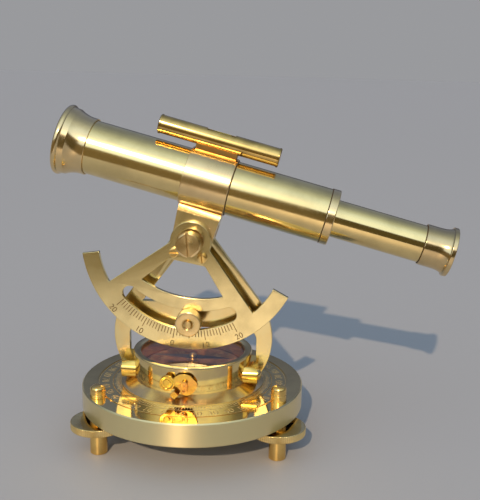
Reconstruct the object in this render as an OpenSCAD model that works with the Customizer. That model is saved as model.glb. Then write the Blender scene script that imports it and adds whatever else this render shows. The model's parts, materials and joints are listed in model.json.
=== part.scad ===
// Brass sighting telescope on a compass alidade: a telescope with a striding level
// rides on a clinometer arc, the arc turns on an A-shaped yoke, and the yoke stands on
// a compass box that turns on a heavy round base with three levelling screws.
// X runs along the telescope (eyepiece towards +X), Z is up, and the origin is where
// the axis of the round base meets the surface that the feet stand on.

/* [Base and levelling screws] */
// Radius of the round base
base_r = 50.8; // [46:0.2:60]
// Thickness of the round base
base_t = 10.6; // [9:0.1:14]
// Bevel on the edges of the base
base_bevel = 0.5; // [0.2:0.1:1.2]
// Height of a foot post, from the surface to the underside of its knob
foot_h = 12.2; // [9:0.1:20]
// Radius of a foot post
foot_r = 3.85; // [3:0.05:5]
// Thickness of a levelling knob
knob_t = 3.4; // [2:0.1:5]
// Radius of a levelling knob
knob_r = 12.3; // [9:0.1:15]
// Gap between a knob and the underside of the base
knob_gap = 1.0; // [0.6:0.1:3]
// Radius of a levelling screw's stem
stem_r = 3.35; // [2.8:0.05:4.5]
// How far the rear stem stands above the base
stem_proud_1 = 5.6; // [3:0.1:9]
// How far the left front stem stands above the base
stem_proud_2 = 4.6; // [3:0.1:9]
// How far the right front stem stands above the base
stem_proud_3 = 7.0; // [3:0.1:9]
// Distance of the levelling screws' axes from the edge of the base
screw_inset = 4.8; // [4.4:0.1:6]
// Direction of the first levelling screw, in degrees from +X
screw_angle = 94.3; // [80:0.1:110]

/* [Azimuth axis] */
// Radius of the turning plate under the compass
plate_r = 32.9; // [30:0.1:35]
// Thickness of the turning plate
plate_t = 0.5; // [0.4:0.1:1]
// Radius of the spindle where it runs in the base
spindle_r = 6.0; // [4.5:0.1:8]
// Radius of the spindle's flange
flange_r = 9.0; // [8:0.1:12]
// Radius of the spindle's threaded end
thread_r = 4.0; // [3:0.1:4.4]
// Depth of the recess for the spindle nut
recess_d = 4.6; // [4:0.1:6]
// Thickness of the spindle washer
washer_t = 1.0; // [0.6:0.1:1.4]

/* [Compass] */
// Outer radius of the compass box
box_r = 27.0; // [24:0.1:27.5]
// Wall of the compass box
box_wall = 2.7; // [2:0.1:3.5]
// Height of the conical seat ring between the turning plate and the box
seat_h = 2.6; // [1.8:0.1:3.4]
// Height of the compass box without its bezel
box_h = 10.9; // [10:0.1:14]
// Thickness of the box floor
floor_t = 1.6; // [1:0.1:2.5]
// Height of the bezel above the box
bezel_h = 1.2; // [0.8:0.1:1.6]
// Thickness of the compass glass
glass_t = 1.6; // [1:0.1:2]
// Thickness of the compass card
card_t = 0.8; // [0.4:0.1:1.2]
// Half length of the compass needle
needle_l = 19.5; // [12:0.5:22]
// Travel of the needle lifter
lift = 0.45; // [0.2:0.05:0.6]

/* [Yoke] */
// Height of the tilting axis above the surface
pivot_z = 93.8; // [92:0.1:100]
// Thickness of the yoke
yoke_t = 3.2; // [2.4:0.1:4]
// Radius of the yoke's hub
yoke_hub_r = 8.5; // [7:0.1:8.9]
// Lean of the upper legs from the vertical
leg_lean = 36.9; // [34:0.1:40]
// Distance of an upper leg's outer edge from the tilting axis
leg_out = 8.0; // [7:0.1:8.4]
// Distance of an upper leg's inner edge from the tilting axis
leg_in = 0.9; // [0:0.1:2]
// Half distance between the lower legs
leg_gap = 29.4; // [28:0.1:30.2]
// Radius of the lower legs' outer curve
leg_curve_r = 29.2; // [28:0.1:31]
// Distance of that curve's centre from the middle of the yoke
leg_curve_x = 7.4; // [6:0.1:8.4]
// Depth of the yoke's cross bar
bar_h = 11.2; // [9:0.1:13]
// Distance of the lug screws in front of the yoke's middle plane
lug_y = 7.5; // [6.5:0.1:8.5]
// Radius of a lug's rounded front
lug_r = 4.4; // [3.6:0.1:4.8]
// Height of the lug screws above the turning plate
lug_z = 6.1; // [5.4:0.1:7]

/* [Clinometer arc] */
// Outer radius of the arc
arc_r = 49.5; // [46:0.1:49.9]
// Width of the arc's end horns
horn_w = 7.6; // [6:0.1:9]
// Half angle of the arc, in degrees
arc_half = 72; // [60:1:80]
// Thickness of the arc
arc_t = 2.2; // [1.6:0.1:3]
// Gap between the back of the arc and the yoke
arc_gap = 4.5; // [3.6:0.1:6]
// Radius of the arc's hub
arc_hub_r = 9.2; // [8.6:0.1:10]
// Radius of the slot's middle line
slot_mid_r = 35.7; // [34:0.1:37]
// Width of the slot at its middle
slot_w = 9.0; // [8.4:0.1:9.6]
// Half angle of the slot, to the centres of its round ends
slot_half = 38.4; // [30:0.1:39]
// Angle between the arc's zero line and the square of the telescope, in degrees
arc_set = 4.5; // [-6:0.1:6]
// Angle between two graduations, in degrees
tick_step = 1.9; // [1:0.1:3]
// Depth of an engraved graduation
tick_depth = 0.25; // [0.15:0.05:0.4]

/* [Pivot and clamp] */
// Radius of the pivot screw's shank
pivot_r = 3.0; // [2.2:0.1:3.6]
// Radius of the pivot screw's head
pivot_head_r = 5.4; // [4.6:0.1:5.8]
// Length of the pivot screw's head
pivot_head_l = 7.0; // [4:0.1:9]
// Thickness of the washer under the pivot nut
pivot_washer_t = 0.6; // [0.4:0.1:1]
// Radius of the clamp stud
clamp_r = 2.0; // [1.6:0.1:2.1]
// Radius of the clamp knob
clamp_knob_r = 5.8; // [5.4:0.1:7]
// Length of the clamp knob
clamp_knob_l = 5.6; // [4:0.1:8]
// Thickness of the clamp washer
clamp_washer_t = 0.8; // [0.5:0.1:1.2]

/* [Telescope] */
// Tilt of the telescope at rest, eyepiece down, in degrees
tilt = 14.5; // [0:0.1:25]
// Height of the telescope's axis above the tilting axis
axis_h = 26.9; // [26.5:0.1:34]
// Outer radius of the main tube
tube_r = 12.1; // [11.4:0.1:12.4]
// Wall of the main tube
tube_wall = 1.0; // [0.8:0.1:1.3]
// Objective end of the main tube, from the middle of the collar
tube_front = 62.0; // [58:0.5:80]
// Eyepiece end of the main tube, from the middle of the collar
tube_back = 53.6; // [48:0.5:70]
// Length of the strap collar
collar_l = 20.8; // [18:0.1:26]
// Wall of the strap collar
collar_wall = 0.9; // [0.6:0.1:1.2]
// Length of tube that the objective cap covers
cap_cover = 7.6; // [5:0.1:10]
// Length of the objective cap in front of the tube
cap_proud = 6.9; // [6:0.1:10]
// Radius of the bead at the cap's mouth
bead_r = 15.8; // [15:0.1:17]
// Visible length of the ring at the tube's eyepiece end
ring_l = 3.6; // [2:0.1:6]
// Length of the end ring's spigot inside the tube
spigot_l = 9.0; // [6:0.5:14]
// Outer radius of the draw tube
draw_r = 8.3; // [7.6:0.1:9]
// Wall of the draw tube
draw_wall = 0.8; // [0.6:0.1:1.2]
// Eyepiece end of the draw tube, from the middle of the collar
draw_back = 97.1; // [96:0.5:110]
// Length of the draw tube
draw_l = 79.0; // [70:0.5:86]
// Length of the eyepiece
eye_l = 13.2; // [10:0.1:18]
// Radius of the eyepiece's flange
eye_flange_r = 10.9; // [10:0.1:12]
// Length of the sleeve that guides the draw tube
guide_l = 16.0; // [10:0.5:20]

/* [Level] */
// Height of the level's axis above the telescope's axis
level_h = 18.6; // [18.4:0.1:22]
// Outer radius of the level's case
level_r = 4.1; // [3.4:0.1:4.6]
// Wall of the level's case
level_wall = 0.8; // [0.5:0.1:1]
// Half length of the level's case
level_half = 26.4; // [20:0.1:34]
// Half length of the window in the case
window_half = 6.5; // [4:0.1:12]
// Width of the window
window_w = 4.4; // [3:0.1:6]
// Thickness of the level's end caps
level_cap_t = 1.0; // [0.6:0.1:2]

/* [Hidden] */
$fn = 96;

// Clearance of a part that turns or slides in another
run = 0.05;
// Clearance of a part that is seated in another
seat = 0.02;
// Side clearance of the yoke in the fork of the tube lug
side = 0.15;
// End play of the spindle and of the pivot screw
play = 0.1;

polished = "gold";
satin = "darkgoldenrod";
steel = "dimgray";
clear = [0.8, 0.9, 0.9, 0.35];

base_z0 = foot_h + knob_t + knob_gap;
base_z1 = base_z0 + base_t;
plate_z1 = base_z1 + plate_t;
box_z0 = plate_z1 + seat_h;
box_z1 = box_z0 + box_h;
floor_z = box_z0 + floor_t;
card_z = floor_z + card_t;
ledge_h = 2.2;
ledge_z = box_z1 - ledge_h;
glass_z = ledge_z + glass_t;
box_in_r = box_r - box_wall;
ledge_r = box_r - box_wall / 2 - 0.2;
needle_z = ledge_z - 2.25;
lug_axis_z = plate_z1 + lug_z;
lug_out = box_r + 4.0;
lug_screw_r = 1.5;
screw_in = sqrt(pow(box_in_r, 2) - pow(lug_y - lug_screw_r, 2)) + 0.05;
lock_z = box_z0 + 4.6;
lock_x = 1.2;
peg_e = 0.9;
spigot_r = 1.9;
stem_proud = [stem_proud_1, stem_proud_2, stem_proud_3];
spigot_h = 2.6;
recess_r = 11.0;
nut_h = 3.2;
shoulder_z = base_z0 + recess_d - play;
screw_circle_r = base_r - screw_inset;

yoke_y = yoke_t / 2;
arc_back = -(yoke_y + arc_gap);
arc_front = arc_back - arc_t;
cheek_back = yoke_y + side + 3.4;
bar_top = pivot_z - 29.6;
bar_bottom = bar_top - bar_h;
corner_r = 5.0;
curve_z = bar_bottom - 4.5;
lug_half = 9.6;
lug_top = 12.0;
lug_low = 9.2;
slot_rise = 14.5;
slot_top = slot_mid_r - slot_w / 2 + slot_rise;
slot_low = slot_mid_r + slot_w / 2;
slot_end = -slot_rise * cos(slot_half) + sqrt(pow(slot_top, 2) - pow(slot_rise * sin(slot_half), 2));
arc_screw_r = 8.65;
arc_screw_a = 47.7;

collar_r = tube_r + collar_wall;
tube_in = tube_r - tube_wall;
draw_in = draw_r - draw_wall;
draw_front = draw_back - draw_l;
reticle_u = draw_back - 45;
guide_back = tube_back - spigot_l;
cap_end = tube_front + cap_proud;
cap_joint = tube_front - cap_cover;
lens_t = 3.4;
lens_curve = 50;
lens_r = tube_in - 0.1;
lip_r = tube_in - 1.4;
lip_t = 1.4;
lens_front = -tube_front - sag(lip_r, lens_curve) + seat;
level_in = level_r - level_wall;

// Points of an arc, from angle a0 to a1, as n steps
function arc_points(cx, cy, r, a0, a1, n) =
    [for (i = [0:n]) let (a = a0 + (a1 - a0) * i / n) [cx + r * cos(a), cy + r * sin(a)]];
// Point at radius r and angle a, measured from straight down towards +X
function down(r, a) = [r * sin(a), -r * cos(a)];
function mirrored(p) = [-p[0], p[1]];
// How far a lens face of the given curve has sunk at radius r
function sag(r, curve) = curve - sqrt(curve * curve - r * r);

// A flat piece in the XZ plane, between y0 and y1
module slab(y0, y1) {
    translate([0, y1, 0]) rotate([90, 0, 0]) linear_extrude(y1 - y0) children();
}
// The tilting frame of the telescope: its origin on the tilting axis, X along the tube
module tilted() {
    translate([0, 0, pivot_z]) rotate([0, tilt, 0]) children();
}
// A frame whose Z runs along the telescope's axis, from the middle of the collar
module on_axis() {
    tilted() translate([0, 0, axis_h]) rotate([0, 90, 0]) children();
}
// A frame whose Z runs along the level's axis
module on_level() {
    tilted() translate([0, 0, axis_h + level_h]) rotate([0, 90, 0]) children();
}
// A round wall from z0 to z1
module sleeve(r_out, r_in, z0, z1) {
    difference() {
        translate([0, 0, z0]) cylinder(r = r_out, h = z1 - z0);
        translate([0, 0, z0 - 1]) cylinder(r = r_in, h = z1 - z0 + 2);
    }
}
// A solid of revolution about Z
module turned(points) {
    rotate_extrude() polygon(points);
}
// A lens of radius r between z0 and z1: each face is part of a sphere, of radius c0 or c1
module lens(r, z0, z1, c0, c1) {
    turned(concat(arc_points(0, z0 + c0, c0, -90, asin(r / c0) - 90, 8),
        arc_points(0, z1 - c1, c1, 90 - asin(r / c1), 90, 8)));
}
// The place of levelling screw i
module at_screw(i) {
    rotate([0, 0, screw_angle + 120 * i]) translate([screw_circle_r, 0, 0]) children();
}
// A rod along Y, from y0 to y1
module rod_y(r, y0, y1) {
    translate([0, y1, 0]) rotate([90, 0, 0]) cylinder(r = r, h = y1 - y0);
}

module base_plate() {
    color(polished) difference() {
        turned([[0, base_z0], [base_r - base_bevel, base_z0], [base_r, base_z0 + base_bevel],
            [base_r, base_z1 - base_bevel], [base_r - base_bevel, base_z1], [0, base_z1]]);
        translate([0, 0, base_z0 - 1]) cylinder(r = spindle_r + run, h = base_t + 2);
        translate([0, 0, base_z0 - 1]) cylinder(r = recess_r, h = recess_d + 1);
        for (i = [0:2]) at_screw(i) translate([0, 0, base_z0 - 1])
            cylinder(r = stem_r + run, h = base_t + 2);
        groove(plate_r + 3.9, 0.5, 0.3);
        groove(plate_r + 10.7, 0.8, 0.4);
    }
}
// A flat-bottomed groove in the top of the base
module groove(r, w, d) {
    translate([0, 0, base_z1 - d]) difference() {
        cylinder(r = r + w / 2, h = d + 1);
        translate([0, 0, -1]) cylinder(r = r - w / 2, h = d + 3);
    }
}

module foot_post(i) {
    color(polished) at_screw(i) turned([[0, 0], [foot_r - 0.4, 0], [foot_r, 0.4],
        [foot_r, foot_h], [spigot_r, foot_h], [spigot_r, foot_h + spigot_h], [0, foot_h + spigot_h]]);
}
module levelling_stem(i) {
    top = base_z1 + stem_proud[i];
    color(polished) at_screw(i) difference() {
        turned(concat([[0, foot_h], [stem_r, foot_h]],
            arc_points(stem_r - 1.2, top - 1.2, 1.2, 0, 60, 5), [[0, top]]));
        translate([0, 0, foot_h - 1]) cylinder(r = spigot_r + run, h = spigot_h + 1 + play);
    }
}
module levelling_knob(i) {
    b = 0.4;
    color(satin) at_screw(i) difference() {
        turned([[0, foot_h], [knob_r - b, foot_h], [knob_r, foot_h + b],
            [knob_r, foot_h + knob_t - b], [knob_r - b, foot_h + knob_t], [0, foot_h + knob_t]]);
        translate([0, 0, foot_h - 1]) cylinder(r = stem_r + seat, h = knob_t + 2);
    }
}

module azimuth_plate() {
    color(polished) difference() {
        turned([[0, base_z1], [plate_r, base_z1], [plate_r, plate_z1], [0, plate_z1]]);
        translate([0, 0, base_z1 - 1]) cylinder(r = spindle_r + seat, h = plate_t + 2);
    }
}
module spindle() {
    color(satin) turned([[0, base_z0 + 0.4], [thread_r, base_z0 + 0.4], [thread_r, shoulder_z],
        [spindle_r, shoulder_z], [spindle_r, plate_z1], [flange_r, plate_z1],
        [flange_r, box_z0], [0, box_z0]]);
}
module spindle_washer() {
    color(steel) sleeve(10, thread_r + seat, shoulder_z - washer_t, shoulder_z);
}
module spindle_nut() {
    z1 = shoulder_z - washer_t;
    color(satin) difference() {
        translate([0, 0, z1 - nut_h]) cylinder(r = 7.2, h = nut_h, $fn = 6);
        translate([0, 0, z1 - nut_h - 1]) cylinder(r = thread_r + seat, h = nut_h + 2);
    }
}
// The seat ring slopes from the foot of the box down to the rim of the turning plate
module compass_seat_ring() {
    color(polished) difference() {
        seat_cone(0);
        translate([0, 0, plate_z1 - 1]) cylinder(r = flange_r + seat, h = seat_h + 2);
    }
}
module seat_cone(gap) {
    turned([[0, plate_z1], [plate_r - 0.2 + gap, plate_z1], [box_r + 0.15 + gap, box_z0],
        [0, box_z0]]);
}

module compass_box() {
    color(polished) difference() {
        translate([0, 0, box_z0]) cylinder(r = box_r, h = box_h);
        translate([0, 0, floor_z]) cylinder(r = box_in_r, h = box_h);
        translate([0, 0, ledge_z]) cylinder(r = ledge_r + seat, h = ledge_h + 1);
        translate([lock_x, 0, lock_z]) rod_y(1.1 + run, -box_r - 1, -box_in_r + 2);
        for (s = [0, 1]) mirror([s, 0, 0]) translate([box_in_r / 2, -lug_y, lug_axis_z])
            rotate([0, 90, 0]) cylinder(r = lug_screw_r + seat, h = box_r);
    }
}
module compass_card() {
    color("rosybrown") sleeve(box_in_r - 0.3, 2.2 + seat, floor_z, card_z);
}
module needle_pin() {
    tip = needle_z + 0.9;
    color(satin) turned([[0, floor_z], [2.2, floor_z], [2.2, card_z + 0.6], [0.8, card_z + 0.6],
        [0.8, tip - 1.8], [0.1, tip], [0, tip]]);
}
module compass_needle() {
    w = 2.6;
    color(steel) translate([0, 0, needle_z]) linear_extrude(0.4) difference() {
        polygon([[-needle_l, 0], [0, -w], [needle_l, 0], [0, w]]);
        circle(1.6 + seat);
    }
}
module needle_cap() {
    z0 = needle_z - 0.3;
    top = needle_z + 1.7;
    color(satin) difference() {
        turned([[0, z0], [2.3, z0], [2.3, needle_z], [1.6, needle_z], [1.6, top - 0.6],
            [0.9, top], [0, top]]);
        translate([0, 0, z0 - 0.01]) cylinder(r1 = 1.2, r2 = 0.25, h = 1.4);
    }
}
// The lifter is a ring round the needle pin, on an arm that reaches over the lock pin's peg
module needle_lifter() {
    z0 = needle_z - 0.3 - lift - 0.15 - 0.5;
    color(satin) translate([0, 0, z0]) linear_extrude(0.5) difference() {
        union() {
            circle(2.9);
            translate([-1.1, -(box_in_r - 1.6)]) square([2.2, box_in_r - 3.2]);
        }
        circle(1.15);
    }
}
module compass_glass() {
    color(clear) translate([0, 0, ledge_z]) cylinder(r = ledge_r, h = glass_t);
}
module compass_bezel() {
    z1 = box_z1 + bezel_h;
    color(polished) turned([[box_in_r - 0.4, glass_z], [ledge_r, glass_z], [ledge_r, box_z1],
        [box_r + 0.3, box_z1], [box_r + 0.3, z1 - 0.4], [box_r, z1], [box_in_r + 0.4, z1],
        [box_in_r - 0.4, z1 - 0.5]]);
}

// The lock lever is a leaf-shaped plate on the front of the box. It ends on the left in a
// round tail with a button, and a square thumb tab stands forward at its lower left
module lock_lever() {
    y0 = -box_r - 2.3;
    tail = [-7.6, 0.9];
    color(polished) translate([lock_x, 0, lock_z]) difference() {
        union() {
            slab(y0, y0 + 1.3) polygon(concat(arc_points(-0.4, -1.8, 6.9, 131, 24, 16),
                arc_points(0.8, 0.2, 4.3, -15, -155, 14)));
            slab(y0 + 0.1, y0 + 1.2) polygon([[-4.4, 3.0], [-6.6, 3.6], [-6.8, -1.6], [-3.0, -1.2]]);
            translate([tail[0], 0, tail[1]]) rod_y(3.4, y0, y0 + 1.3);
            translate([-3.9, 0, -3.2]) rotate([0, 45, 0]) translate([-1.3, y0 - 2.7, -1.3])
                cube([2.6, 3.6, 2.6]);
        }
        rod_y(1.1 + seat, y0 - 2, y0 + 3);
        translate([tail[0], 0, tail[1]]) difference() {
            rod_y(2.6, y0 - 1, y0 + 0.5);
            rod_y(1.6, y0 - 1, y0 + 2);
        }
    }
}
module lock_pin() {
    y0 = -box_r - 2.3;
    color(polished) translate([lock_x, 0, lock_z]) difference() {
        union() {
            rod_y(1.1, y0 - 0.2, -box_in_r + 1.0);
            slab(y0 - 1.4, y0) polygon(concat(arc_points(0.2, 1.5, 1.3, 160, 20, 8),
                arc_points(0, -1.5, 1.5, -20, -160, 8)));
            rod_y(1.7, y0 + 1.3, -box_r - 0.3);
            rod_y(1.4, -box_in_r + 0.3, -box_in_r + 1.2);
            translate([-peg_e * cos(15), 0, -peg_e * sin(15)]) rod_y(0.4, -box_in_r + 1.1, -box_in_r + 3.4);
        }
        translate([0, 0, -1.4]) rod_y(0.6, y0 - 2, y0 - 0.8);
    }
}

// A lug stands on the right of the box, and mirrored on the left: its front is round,
// its top slopes up to the face of the yoke's leg, and its inner end fits the box
module lug() {
    color(satin) difference() {
        translate([screw_in, 0, 0]) rotate([90, 0, 90]) linear_extrude(lug_out - screw_in) union() {
            translate([-lug_y, lug_axis_z]) circle(lug_r);
            polygon([[-lug_y, lug_axis_z - lug_r], [-yoke_y, lug_axis_z - lug_r],
                [-yoke_y, lug_axis_z + lug_r + 2.6], [-lug_y - 2.5, lug_axis_z + lug_r - 0.2],
                [-lug_y - lug_r + 0.5, lug_axis_z + 2.2]]);
        }
        translate([0, 0, plate_z1 - 1]) cylinder(r = box_r + seat, h = box_h + 8);
        seat_cone(2 * seat);
        translate([box_in_r / 2, -lug_y, lug_axis_z]) rotate([0, 90, 0])
            cylinder(r = lug_screw_r + seat, h = box_r);
    }
}
module lug_left() {
    mirror([1, 0, 0]) lug();
}
module lug_right() {
    lug();
}
// A lug screw runs through its lug into the wall of the box
module lug_screw() {
    translate([0, -lug_y, lug_axis_z]) rotate([0, 90, 0]) difference() {
        turned(concat([[0, screw_in], [lug_screw_r, screw_in], [lug_screw_r, lug_out], [2.7, lug_out]],
            arc_points(0, lug_out - 1.3, 3.0, 26, 80, 6), [[0, lug_out + 1.7]]));
        translate([-4, -0.35, lug_out + 0.9]) cube([8, 0.7, 3]);
    }
}
module lug_screws() {
    color(satin) lug_screw();
    color(satin) mirror([1, 0, 0]) lug_screw();
}

// Right half of a yoke leg: a straight upper leg that runs into a curved lower leg
module yoke_leg() {
    along = [sin(leg_lean), -cos(leg_lean)];
    across = [cos(leg_lean), sin(leg_lean)];
    reach = 46;
    centre = [leg_curve_x, curve_z - pivot_z];
    foot_z = lug_axis_z - lug_r + 0.4 - pivot_z;
    intersection() {
        union() {
            polygon([leg_in * across, leg_out * across, leg_out * across + reach * along,
                leg_in * across + reach * along]);
            translate([leg_gap, foot_z]) square([14, bar_top - pivot_z - foot_z]);
            translate([0, bar_bottom - pivot_z]) square([leg_gap + 1, bar_h]);
        }
        union() {
            translate(centre) circle(leg_curve_r);
            translate([-1, bar_top - 2 - pivot_z]) square([leg_gap + 3.5, 60]);
        }
    }
}
module yoke_outline() {
    circle(yoke_hub_r);
    yoke_leg();
    mirror([1, 0]) yoke_leg();
    for (s = [-1, 1]) difference() {
        translate([s > 0 ? leg_gap - corner_r : -leg_gap, bar_bottom - pivot_z - corner_r])
            square(corner_r);
        translate([s * (leg_gap - corner_r), bar_bottom - pivot_z - corner_r]) circle(corner_r);
    }
}
module yoke() {
    color(polished) translate([0, 0, pivot_z]) difference() {
        slab(-yoke_y, yoke_y) yoke_outline();
        rod_y(pivot_r + seat, -9, 9);
        translate([0, 0, -slot_mid_r]) rod_y(clamp_r + run, -9, 9);
    }
}

module pivot_screw() {
    y0 = arc_front - play / 2;
    color(satin) translate([0, 0, pivot_z]) difference() {
        union() {
            rod_y(pivot_r, y0 - 0.1, cheek_back + play / 2 + pivot_washer_t + 4.6);
            rod_y(pivot_head_r, y0 - pivot_head_l + 0.4, y0);
            rod_y(pivot_head_r - 0.4, y0 - pivot_head_l, y0);
        }
        rotate([0, -5, 0]) translate([-0.65, y0 - pivot_head_l - 1, -8]) cube([1.3, 2.8, 16]);
    }
}
module pivot_washer() {
    y0 = cheek_back + play / 2;
    color(satin) translate([0, 0, pivot_z]) difference() {
        rod_y(pivot_head_r + 1.6, y0, y0 + pivot_washer_t);
        rod_y(pivot_r + seat, y0 - 3, y0 + 3);
    }
}
module pivot_nut() {
    y0 = cheek_back + play / 2 + pivot_washer_t;
    color(satin) translate([0, 0, pivot_z]) difference() {
        translate([0, y0 + 3.8, 0]) rotate([90, 0, 0]) cylinder(r = 6.2, h = 3.8, $fn = 6);
        rod_y(pivot_r + seat, y0 - 2, y0 + 6);
    }
}

module clamp_stud() {
    color(satin) translate([0, 0, pivot_z - slot_mid_r]) union() {
        rod_y(clamp_r, arc_front - clamp_washer_t - 0.2, yoke_y + 1.6);
        rod_y(1.6, arc_front - clamp_washer_t - clamp_knob_l - 0.7, arc_front);
    }
}
module clamp_knob() {
    y1 = arc_front - clamp_washer_t - 0.2;
    b = 0.5;
    color(satin) translate([0, 0, pivot_z - slot_mid_r]) difference() {
        union() {
            rod_y(clamp_knob_r, y1 - clamp_knob_l + b, y1 - b);
            rod_y(clamp_knob_r - b, y1 - clamp_knob_l, y1);
        }
        rod_y(1.6 + seat, y1 - clamp_knob_l - 1, y1 + 1);
    }
}
module clamp_washer() {
    y1 = arc_front - play;
    color(satin) translate([0, 0, pivot_z - slot_mid_r]) difference() {
        rod_y(clamp_knob_r - 0.5, y1 - clamp_washer_t, y1);
        rod_y(clamp_r + seat, y1 - 3, y1 + 3);
    }
}

// Outline of the clinometer arc, with its zero line straight down
module arc_outline() {
    horn_r = arc_r - horn_w;
    shoulder = down(arc_hub_r, -78);
    notch = down(horn_r, -52.2);
    high = shoulder - 0.1 * (notch - shoulder);
    low = shoulder + 1.5 * (notch - shoulder);
    difference() {
        union() {
            circle(arc_hub_r);
            intersection() {
                circle(horn_r + 2);
                polygon([high, low, [low[0], -60], [-low[0], -60], mirrored(low),
                    mirrored(high)]);
            }
            intersection() {
                difference() {
                    circle(arc_r);
                    circle(horn_r);
                }
                polygon([[0, 0], down(80, -arc_half), [-80, -80], [80, -80], down(80, arc_half)]);
            }
        }
        arc_window();
        arc_slot();
        circle(pivot_r + run);
        for (s = [-1, 1]) translate(down(arc_screw_r, s * arc_screw_a)) circle(1.0 + seat);
    }
}
// The window between the arms: its lower side is a shallow arc
module arc_window() {
    intersection() {
        polygon([[-8.3, -9.4], [-24.5, -28.1], [24.5, -28.1], [8.3, -9.4]]);
        translate([0, 20]) circle(slot_mid_r - slot_w / 2 - 5.9 + 20);
    }
}
// The slot's lower side is round the pivot, its upper side is flatter, and its ends are round
module arc_slot() {
    end_mid = (slot_end + slot_low) / 2;
    end_r = (slot_low - slot_end) / 2;
    right = down(end_mid, slot_half);
    left = mirrored(right);
    top_half = asin(slot_end * sin(slot_half) / slot_top);
    polygon(concat(
        arc_points(0, 0, slot_low, -90 - slot_half, slot_half - 90, 40),
        arc_points(right[0], right[1], end_r, slot_half - 80, slot_half + 80, 16),
        arc_points(0, slot_rise, slot_top, top_half - 90, -90 - top_half, 36),
        arc_points(left[0], left[1], end_r, 100 - slot_half, 260 - slot_half, 16)));
}
// Graduations run outwards from the slot, longer at each fifth and tenth
module arc_ticks() {
    r0 = slot_mid_r + slot_w / 2 + 0.4;
    for (k = [-20:20]) {
        long = k % 10 == 0 ? 2.6 : (k % 5 == 0 ? 2.3 : 1.7);
        rotate([0, -k * tick_step, 0]) translate([-0.1, arc_front - 1, -r0 - long])
            cube([0.2, 1 + tick_depth, long]);
    }
}
module clinometer_arc() {
    color(polished) tilted() rotate([0, -arc_set, 0]) difference() {
        slab(arc_front, arc_back) arc_outline();
        arc_ticks();
    }
}
module arc_screws() {
    color(satin) tilted() rotate([0, -arc_set, 0])
        for (s = [-1, 1]) rotate([0, -s * arc_screw_a, 0]) translate([0, 0, -arc_screw_r]) difference() {
            union() {
                rod_y(1.0, arc_front - 0.2, arc_back + 3.2);
                rod_y(2.2, arc_front - 1.3, arc_front);
                rod_y(1.9, arc_front - 1.7, arc_front);
            }
            rotate([0, 30, 0]) translate([-0.3, arc_front - 3, -3]) cube([0.6, 2.1, 6]);
        }
}

// The tube lug is a fork: its cheeks straddle the yoke's hub, its top carries the collar
module tube_lug() {
    color(satin) tilted() difference() {
        union() {
            slab(arc_back, cheek_back) polygon([[-lug_half, lug_top], [-lug_half + 0.7, 0],
                [-lug_half + 0.7, -lug_low], [lug_half - 0.7, -lug_low], [lug_half - 0.7, 0],
                [lug_half, lug_top]]);
            translate([-lug_half, 0, 0]) rotate([90, 0, 90]) linear_extrude(2 * lug_half)
                polygon([[arc_back, lug_top], [arc_back + 1.1, lug_top + 1.2],
                    [arc_back + 1.6, lug_top + 3], [4.4, lug_top + 3], [cheek_back, lug_top]]);
        }
        translate([0, 0, axis_h]) rotate([0, 90, 0])
            cylinder(r = collar_r + seat, h = 60, center = true);
        translate([-20, -yoke_y - side, -20]) cube([40, yoke_t + 2 * side, 20 + yoke_hub_r + 0.8]);
        rod_y(pivot_r + run, -12, 12);
        rotate([0, -arc_set, 0]) for (s = [-1, 1]) rotate([0, -s * arc_screw_a, 0])
            translate([0, 0, -arc_screw_r]) rod_y(1.0 + seat, arc_back - 1, arc_back + 3.3);
    }
}
module strap_collar() {
    color(polished) on_axis() sleeve(collar_r, tube_r + seat, -collar_l / 2, collar_l / 2);
}
module main_tube() {
    color(polished) on_axis() sleeve(tube_r, tube_in, -tube_front, tube_back);
}
// The cap slides over the tube, flares out and ends in a rounded bead
module objective_cap() {
    sleeve_r = tube_r + 0.7;
    mouth_r = bead_r - 1.9;
    color(satin) on_axis() turned(concat(
        [[tube_r + seat, -cap_joint], [sleeve_r, -cap_joint]],
        arc_points(sleeve_r + 14, -cap_joint - 1.5, 14, 180, 210, 6),
        arc_points(bead_r - 1.5, -cap_end + 1.9, 1.5, 60, -100, 10),
        [[mouth_r, -cap_end + 0.6], [lip_r, -tube_front - lip_t], [lip_r, -tube_front],
            [tube_r + seat, -tube_front]]));
}
module objective_lens() {
    color(clear) on_axis() lens(lens_r, lens_front, lens_front + lens_t, lens_curve, lens_curve);
}
module lens_retaining_ring() {
    r = tube_in - 1.6;
    z0 = lens_front + lens_t - sag(r, lens_curve) + seat;
    color(satin) on_axis() sleeve(tube_in - seat, r, z0, z0 + 2.0);
}
module tube_end_ring() {
    b = 0.4;
    color(satin) on_axis() turned([[draw_r + run, guide_back], [tube_in - seat, guide_back],
        [tube_in - seat, tube_back], [tube_r + 0.3, tube_back], [tube_r + 0.3, tube_back + ring_l - b],
        [tube_r + 0.3 - b, tube_back + ring_l], [draw_r + run, tube_back + ring_l]]);
}
module draw_tube_guide() {
    color(satin) on_axis() sleeve(tube_in - seat, draw_r + run, guide_back - guide_l, guide_back);
}
module draw_tube() {
    color(polished) on_axis() sleeve(draw_r, draw_in, draw_front, draw_back);
}
module draw_stop_ring() {
    color(satin) on_axis() sleeve(tube_in - 0.3, draw_r + seat, draw_front, draw_front + 2.5);
}
module reticle_ring() {
    color(satin) on_axis() sleeve(draw_in - seat, draw_in - 1.4, reticle_u, reticle_u + 2.5);
}
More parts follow.
